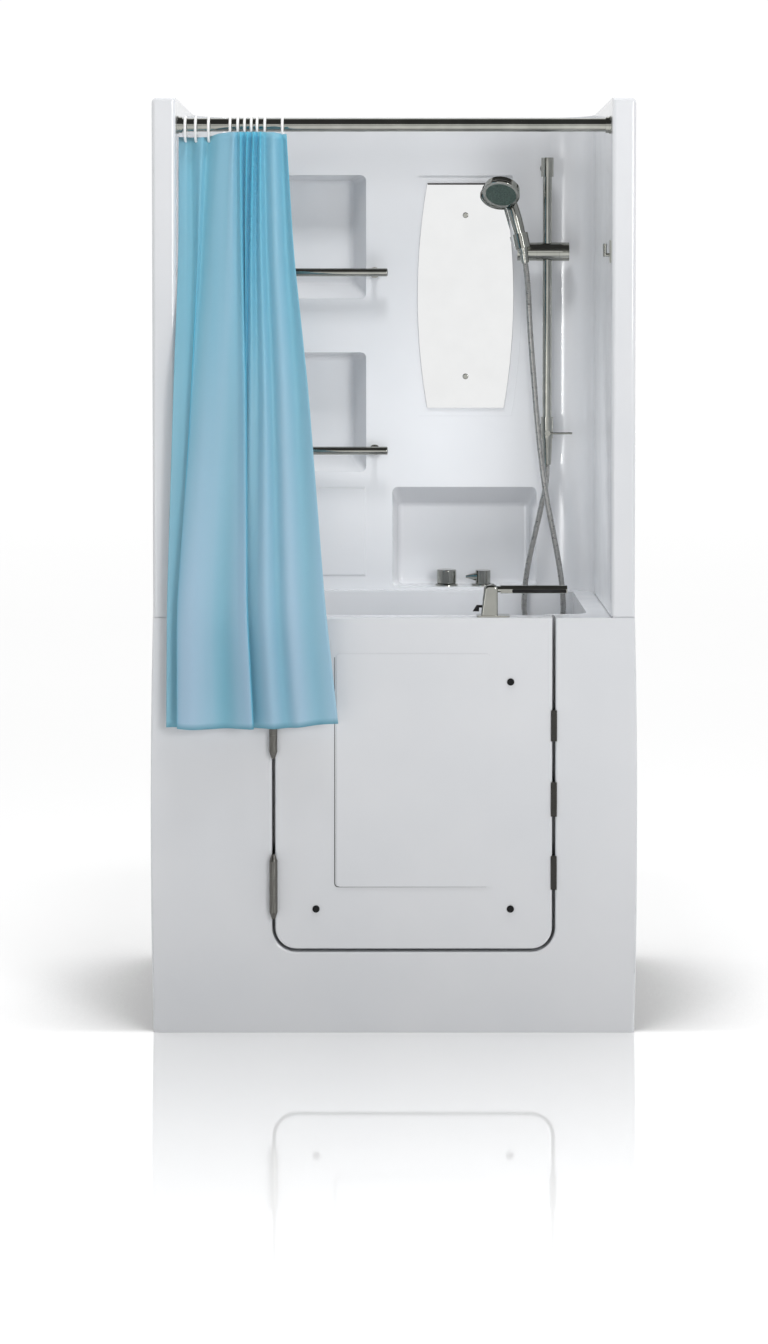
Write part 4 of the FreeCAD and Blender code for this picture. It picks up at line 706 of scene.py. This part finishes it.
def valleys(grid):
    """How far each point lies behind the cloth round it, from 0, at a crest, to 1, in a valley."""
    columns = grid.shape[1]
    sums = np.cumsum(np.pad(grid[:, :, 1], ((0, 0), (1, 0))), axis=1)
    low = np.maximum(np.arange(columns) - VALLEY_REACH, 0)
    high = np.minimum(np.arange(columns) + VALLEY_REACH + 1, columns)
    middle = (sums[:, high] - sums[:, low]) / (high - low)
    return np.clip(0.5 + (grid[:, :, 1] - middle) / VALLEY_DEPTH, 0.0, 1.0)


def paint(mesh, name, values):
    layer = mesh.attributes.new(name, "FLOAT", "POINT")
    layer.data.foreach_set("value", np.asarray(values, np.float32).ravel())


def add_curtain():
    grid = smooth_columns(curtain_grid())
    rows, columns = grid.shape[:2]
    points = grid.reshape(-1, 3)
    faces = []
    for row in range(rows - 1):
        for column in range(columns - 1):
            first = row * columns + column
            faces.append((first, first + columns, first + columns + 1, first + 1))
    made = add_piece("curtain_sheet", points, faces, "curtain_cloth")
    across = np.linalg.norm(np.diff(grid, axis=1), axis=2)
    down = np.linalg.norm(np.diff(grid, axis=0), axis=2)
    width = float(across.sum(axis=1).mean())
    length = float(down.sum(axis=0).mean())
    flat = made.data.uv_layers.new(name="flat")
    for loop in made.data.loops:
        row, column = divmod(loop.vertex_index, columns)
        flat.data[loop.index].uv = (width * column / (columns - 1), length * row / (rows - 1))
    paint(made.data, "gather", gathers(grid))
    paint(made.data, "valley", valleys(grid))
    hem = np.zeros((rows, columns))
    hem[-1] = 1.0
    paint(made.data, "hem", hem)
    thicken = made.modifiers.new("cloth", "SOLIDIFY")
    thicken.thickness = CURTAIN_THICKNESS
    thicken.offset = 0.0
    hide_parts("curtain")
    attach(made, "curtain")
    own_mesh(made)
    return made, (width, length)


def add_rings():
    """Round hoops about the rod's direction, each with a rounded section."""
    verts, faces = [], []
    for place in RING_PLACES:
        sections = []
        for step in range(RING_STEPS):
            angle = 2.0 * math.pi * step / RING_STEPS
            section = []
            for side in range(RING_SIDES):
                turn = 2.0 * math.pi * side / RING_SIDES
                reach = RING_RADIUS + RING_HALF_THICKNESS * math.cos(turn)
                x = place + RING_HALF_WIDTH * math.sin(turn)
                y = ROD_Y + reach * math.cos(angle)
                z = RING_CENTRE_Z + reach * math.sin(angle)
                section.append((x, y, z))
            sections.append(add_ring(verts, section))
        faces.extend(walls([*sections, sections[0]]))
    made = add_piece("curtain_ring_set", verts, faces, "ring_plastic")
    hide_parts("curtain_rings")
    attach(made, "curtain")
    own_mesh(made)
    return made


def curtain_set():
    sheet, flat = add_curtain()
    add_rings()


# Thin dark lines and strips: a painted shadow line on the door's panel, a painted reflection on the lever,
# and a dark strip along the mirror's top edge
def panel_shadow_line():
    """A painted shadow: a thin dark line along the left and lower edges of the door's raised panel, where
    shade falls.
    """
    line = [Vector((SHADOW_LINE_X, SHADOW_LINE_Y, SHADOW_LINE_TOP_Z))]
    for step in range(SHADOW_LINE_CORNER_STEPS + 1):
        angle = math.pi / 2.0 * step / SHADOW_LINE_CORNER_STEPS
        across = SHADOW_LINE_X + SHADOW_LINE_CORNER * (1.0 - math.cos(angle))
        line.append(Vector((across, SHADOW_LINE_Y, SHADOW_LINE_Z + SHADOW_LINE_CORNER * (1.0 - math.sin(angle)))))
    line.append(Vector((SHADOW_LINE_RIGHT_X, SHADOW_LINE_Y, SHADOW_LINE_Z)))
    top, corner, end = SHADOW_LINE_RADII
    verts, faces = tube(line, [top] + [corner] * (len(line) - 2) + [end], SHADOW_LINE_SIDES)
    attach(add_piece("door_panel_shadow_line", verts, faces, "black_rubber"), "door")


def rounded_box(left, right, low, high, corner):
    """Points round a box with round corners, seen from the front."""
    found = []
    for turn, (x, z) in enumerate(((right, high), (left, high), (left, low), (right, low))):
        centre_x = x - corner if x == right else x + corner
        centre_z = z - corner if z == high else z + corner
        for step in range(STRIP_CORNER_STEPS + 1):
            angle = math.pi / 2.0 * (turn + step / STRIP_CORNER_STEPS)
            found.append((centre_x + corner * math.cos(angle), centre_z + corner * math.sin(angle)))
    return found


def add_strip(name, box, corner, layers, slot, body):
    """A flat strip that faces the front, with a bevelled edge."""
    left, right, low, high = box
    verts, rings = [], []
    for y, inset in layers:
        outline = rounded_box(left + inset, right - inset, low + inset, high - inset, corner - inset)
        rings.append(add_ring(verts, [(x, y, z) for x, z in outline]))
    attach(add_piece(name, verts, capped(rings), slot), body)


def strips():
    # The lever strip is a painted reflection: dark where the lever's front face reflects dark surroundings
    add_strip("lever_dark_reflection", LEVER_REFLECTION_BOX, LEVER_REFLECTION_CORNER, LEVER_REFLECTION_LAYERS, "black_plastic", "latch_lever")
    add_strip(
        "mirror_top_edge", MIRROR_EDGE_BOX, MIRROR_EDGE_CORNER, MIRROR_EDGE_LAYERS, "black_rubber", "tub"
    )


# Spray nozzles
def nozzles():
    """Short tapered stubs in rings on the spray face."""
    normal = Vector(FACE_NORMAL).normalized()
    side = normal.cross(Vector((0.0, 0.0, 1.0))).normalized()
    other = normal.cross(side)
    verts, faces = [], []
    for radius, count in NOZZLE_RINGS:
        for centre in around(Vector(FACE_CENTRE), side, other, radius, count):
            rings = []
            for height_share, radius_share in NOZZLE_LAYER_SHARES:
                middle = centre + normal * NOZZLE_HEIGHT * height_share
                points = around(middle, side, other, NOZZLE_RADIUS * radius_share, NOZZLE_SIDES)
                rings.append(add_ring(verts, points))
            faces.extend(capped(rings))
    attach(add_piece("spray_nozzles", verts, faces, "spray_plastic"), "holder")


# Stage
def add_floor():
    """A pale floor that shines in front of the object, less and less towards the camera, with painted
    shadow beside and behind it.
    """
    made, tree, shader = material("floor")
    pale = colours(tree, noise(tree, 0.6, 2.0), (0.3, (0.98, 0.98, 0.98)), (0.8, (0.99, 0.99, 0.99)))
    parts = tree.nodes.new("ShaderNodeSeparateXYZ")
    tree.links.new(coordinates(tree, (1.0, 1.0, 1.0)), parts.inputs["Vector"])
    # Painted shadow: ambient occlusion darkens the floor's colour beside and behind the object
    contact = tree.nodes.new("ShaderNodeAmbientOcclusion")
    contact.inputs["Distance"].default_value = FLOOR_SHADOW_REACH
    beside = eased(tree, parts.outputs["Y"], FLOOR_SHINY_Y, FLOOR_BEHIND_Y, 0.0, 1.0)
    dark = times(tree, beside, eased(tree, contact.outputs["AO"], *FLOOR_SHADOW_RANGE, 1.0, 0.0))
    shaded = mixed(tree, dark, pale, FLOOR_SHADOW_TINT)
    tree.links.new(shaded, shader.inputs["Base Color"])
    near = eased(tree, parts.outputs["Y"], FLOOR_DULL_Y, FLOOR_SHINY_Y, 0.0, FLOOR_SHINE)
    ahead = eased(tree, parts.outputs["Y"], FLOOR_SHINY_Y, FLOOR_BEHIND_Y, 1.0, FLOOR_BEHIND_SHARE)
    offset = times(tree, parts.outputs["X"], parts.outputs["X"])
    across = eased(tree, offset, FLOOR_SHINY_X**2, FLOOR_DULL_X**2, 1.0, 0.0)
    tree.links.new(times(tree, across, times(tree, near, ahead)), shader.inputs["Metallic"])
    polish(tree, shader, noise(tree, 2.0, 3.0), 0.03, 0.06)
    set_sockets(shader, Emission_Color=rgba((1.0, 1.0, 1.0)), Emission_Strength=FLOOR_GLOW)
    mesh = bpy.data.meshes.new("floor")
    signs = ((-1, -1), (1, -1), (1, 1), (-1, 1))
    mesh.from_pydata([(x * FLOOR_REACH, y * FLOOR_REACH, 0.0) for x, y in signs], [], [(0, 1, 2, 3)])
    mesh.materials.append(made)
    floor = bpy.data.objects.new("floor", mesh)
    bpy.context.scene.collection.objects.link(floor)


def add_world():
    """White behind the object; what lights it has darker stretches that metal can reflect."""
    world = bpy.data.worlds.new("studio")
    world.use_nodes = True
    tree = world.node_tree
    place = tree.nodes.new("ShaderNodeTexCoord")
    parts = tree.nodes.new("ShaderNodeSeparateXYZ")
    tree.links.new(place.outputs["Generated"], parts.inputs["Vector"])
    rays = tree.nodes.new("ShaderNodeLightPath")
    front = eased(tree, parts.outputs["Y"], *FRONT_Y, 1.0, 0.0)
    above = eased(tree, parts.outputs["Z"], *HIGH_START_Z, 0.0, 1.0)
    below = eased(tree, parts.outputs["Z"], *HIGH_END_Z, 1.0, 0.0)
    high = times(tree, front, times(tree, above, below))
    left = times(tree, front, eased(tree, parts.outputs["X"], *LEFT_X, 1.0, 0.0))
    right = times(tree, front, eased(tree, parts.outputs["X"], *RIGHT_X, 0.0, RIGHT_SHADE_SHARE))
    behind = eased(tree, parts.outputs["Y"], *BEHIND_Y, 1.0, 0.0)
    roof = times(tree, behind, eased(tree, parts.outputs["Z"], *ROOF_Z, 0.0, 1.0))
    sides = highest(tree, roof, highest(tree, left, right))
    patch = highest(tree, high, times(tree, sides, rays.outputs["Is Glossy Ray"]))
    shade = colours(tree, patch, (0.0, (1.0, 1.0, 1.0)), (1.0, (WORLD_DARK, WORLD_DARK, WORLD_DARK)))
    seen = mixed(tree, rays.outputs["Is Camera Ray"], shade, (1.0, 1.0, 1.0))
    background = tree.nodes["Background"]
    tree.links.new(seen, background.inputs["Color"])
    background.inputs["Strength"].default_value = WORLD_STRENGTH
    bpy.context.scene.world = world


def add_light(name, place, target, size, power):
    """A soft box that lights the target and is not itself seen."""
    data = bpy.data.lights.new(name, "AREA")
    data.shape = "RECTANGLE"
    data.size, data.size_y = size
    data.energy = power
    made = bpy.data.objects.new(name, data)
    made.location = place
    made.rotation_euler = (Vector(target) - Vector(place)).to_track_quat("-Z", "Y").to_euler()
    made.visible_camera = False
    bpy.context.scene.collection.objects.link(made)
    return made


def add_camera():
    data = bpy.data.cameras.new("camera")
    data.lens = LENS_MM
    data.sensor_width = SENSOR_MM
    data.shift_x = SHIFT_X
    data.shift_y = SHIFT_Y
    made = bpy.data.objects.new("camera", data)
    made.location = EYE
    made.rotation_euler = (math.pi / 2.0 - PITCH, 0.0, 0.0)
    bpy.context.scene.collection.objects.link(made)
    bpy.context.scene.camera = made


def stage():
    add_floor()
    add_world()
    add_light("right_key", *RIGHT_KEY)
    add_light("left_key", *LEFT_KEY)
    front = add_light("front", *FRONT_LIGHT)
    front.visible_glossy = False
    inner = add_light("inner_fill", *INNER_FILL)
    inner.visible_glossy = False
    strip = add_light("corner_strip", *CORNER_STRIP)
    strip.visible_diffuse = False
    corner_only = bpy.data.collections.new("corner_only")
    corner_only.objects.link(nodes["back_wall"])
    strip.light_linking.receiver_collection = corner_only
    add_camera()
    bpy.context.scene.view_settings.view_transform = "Standard"


dress_solids()
hoses()
curtain_set()
panel_shadow_line()
strips()
nozzles()
stage()
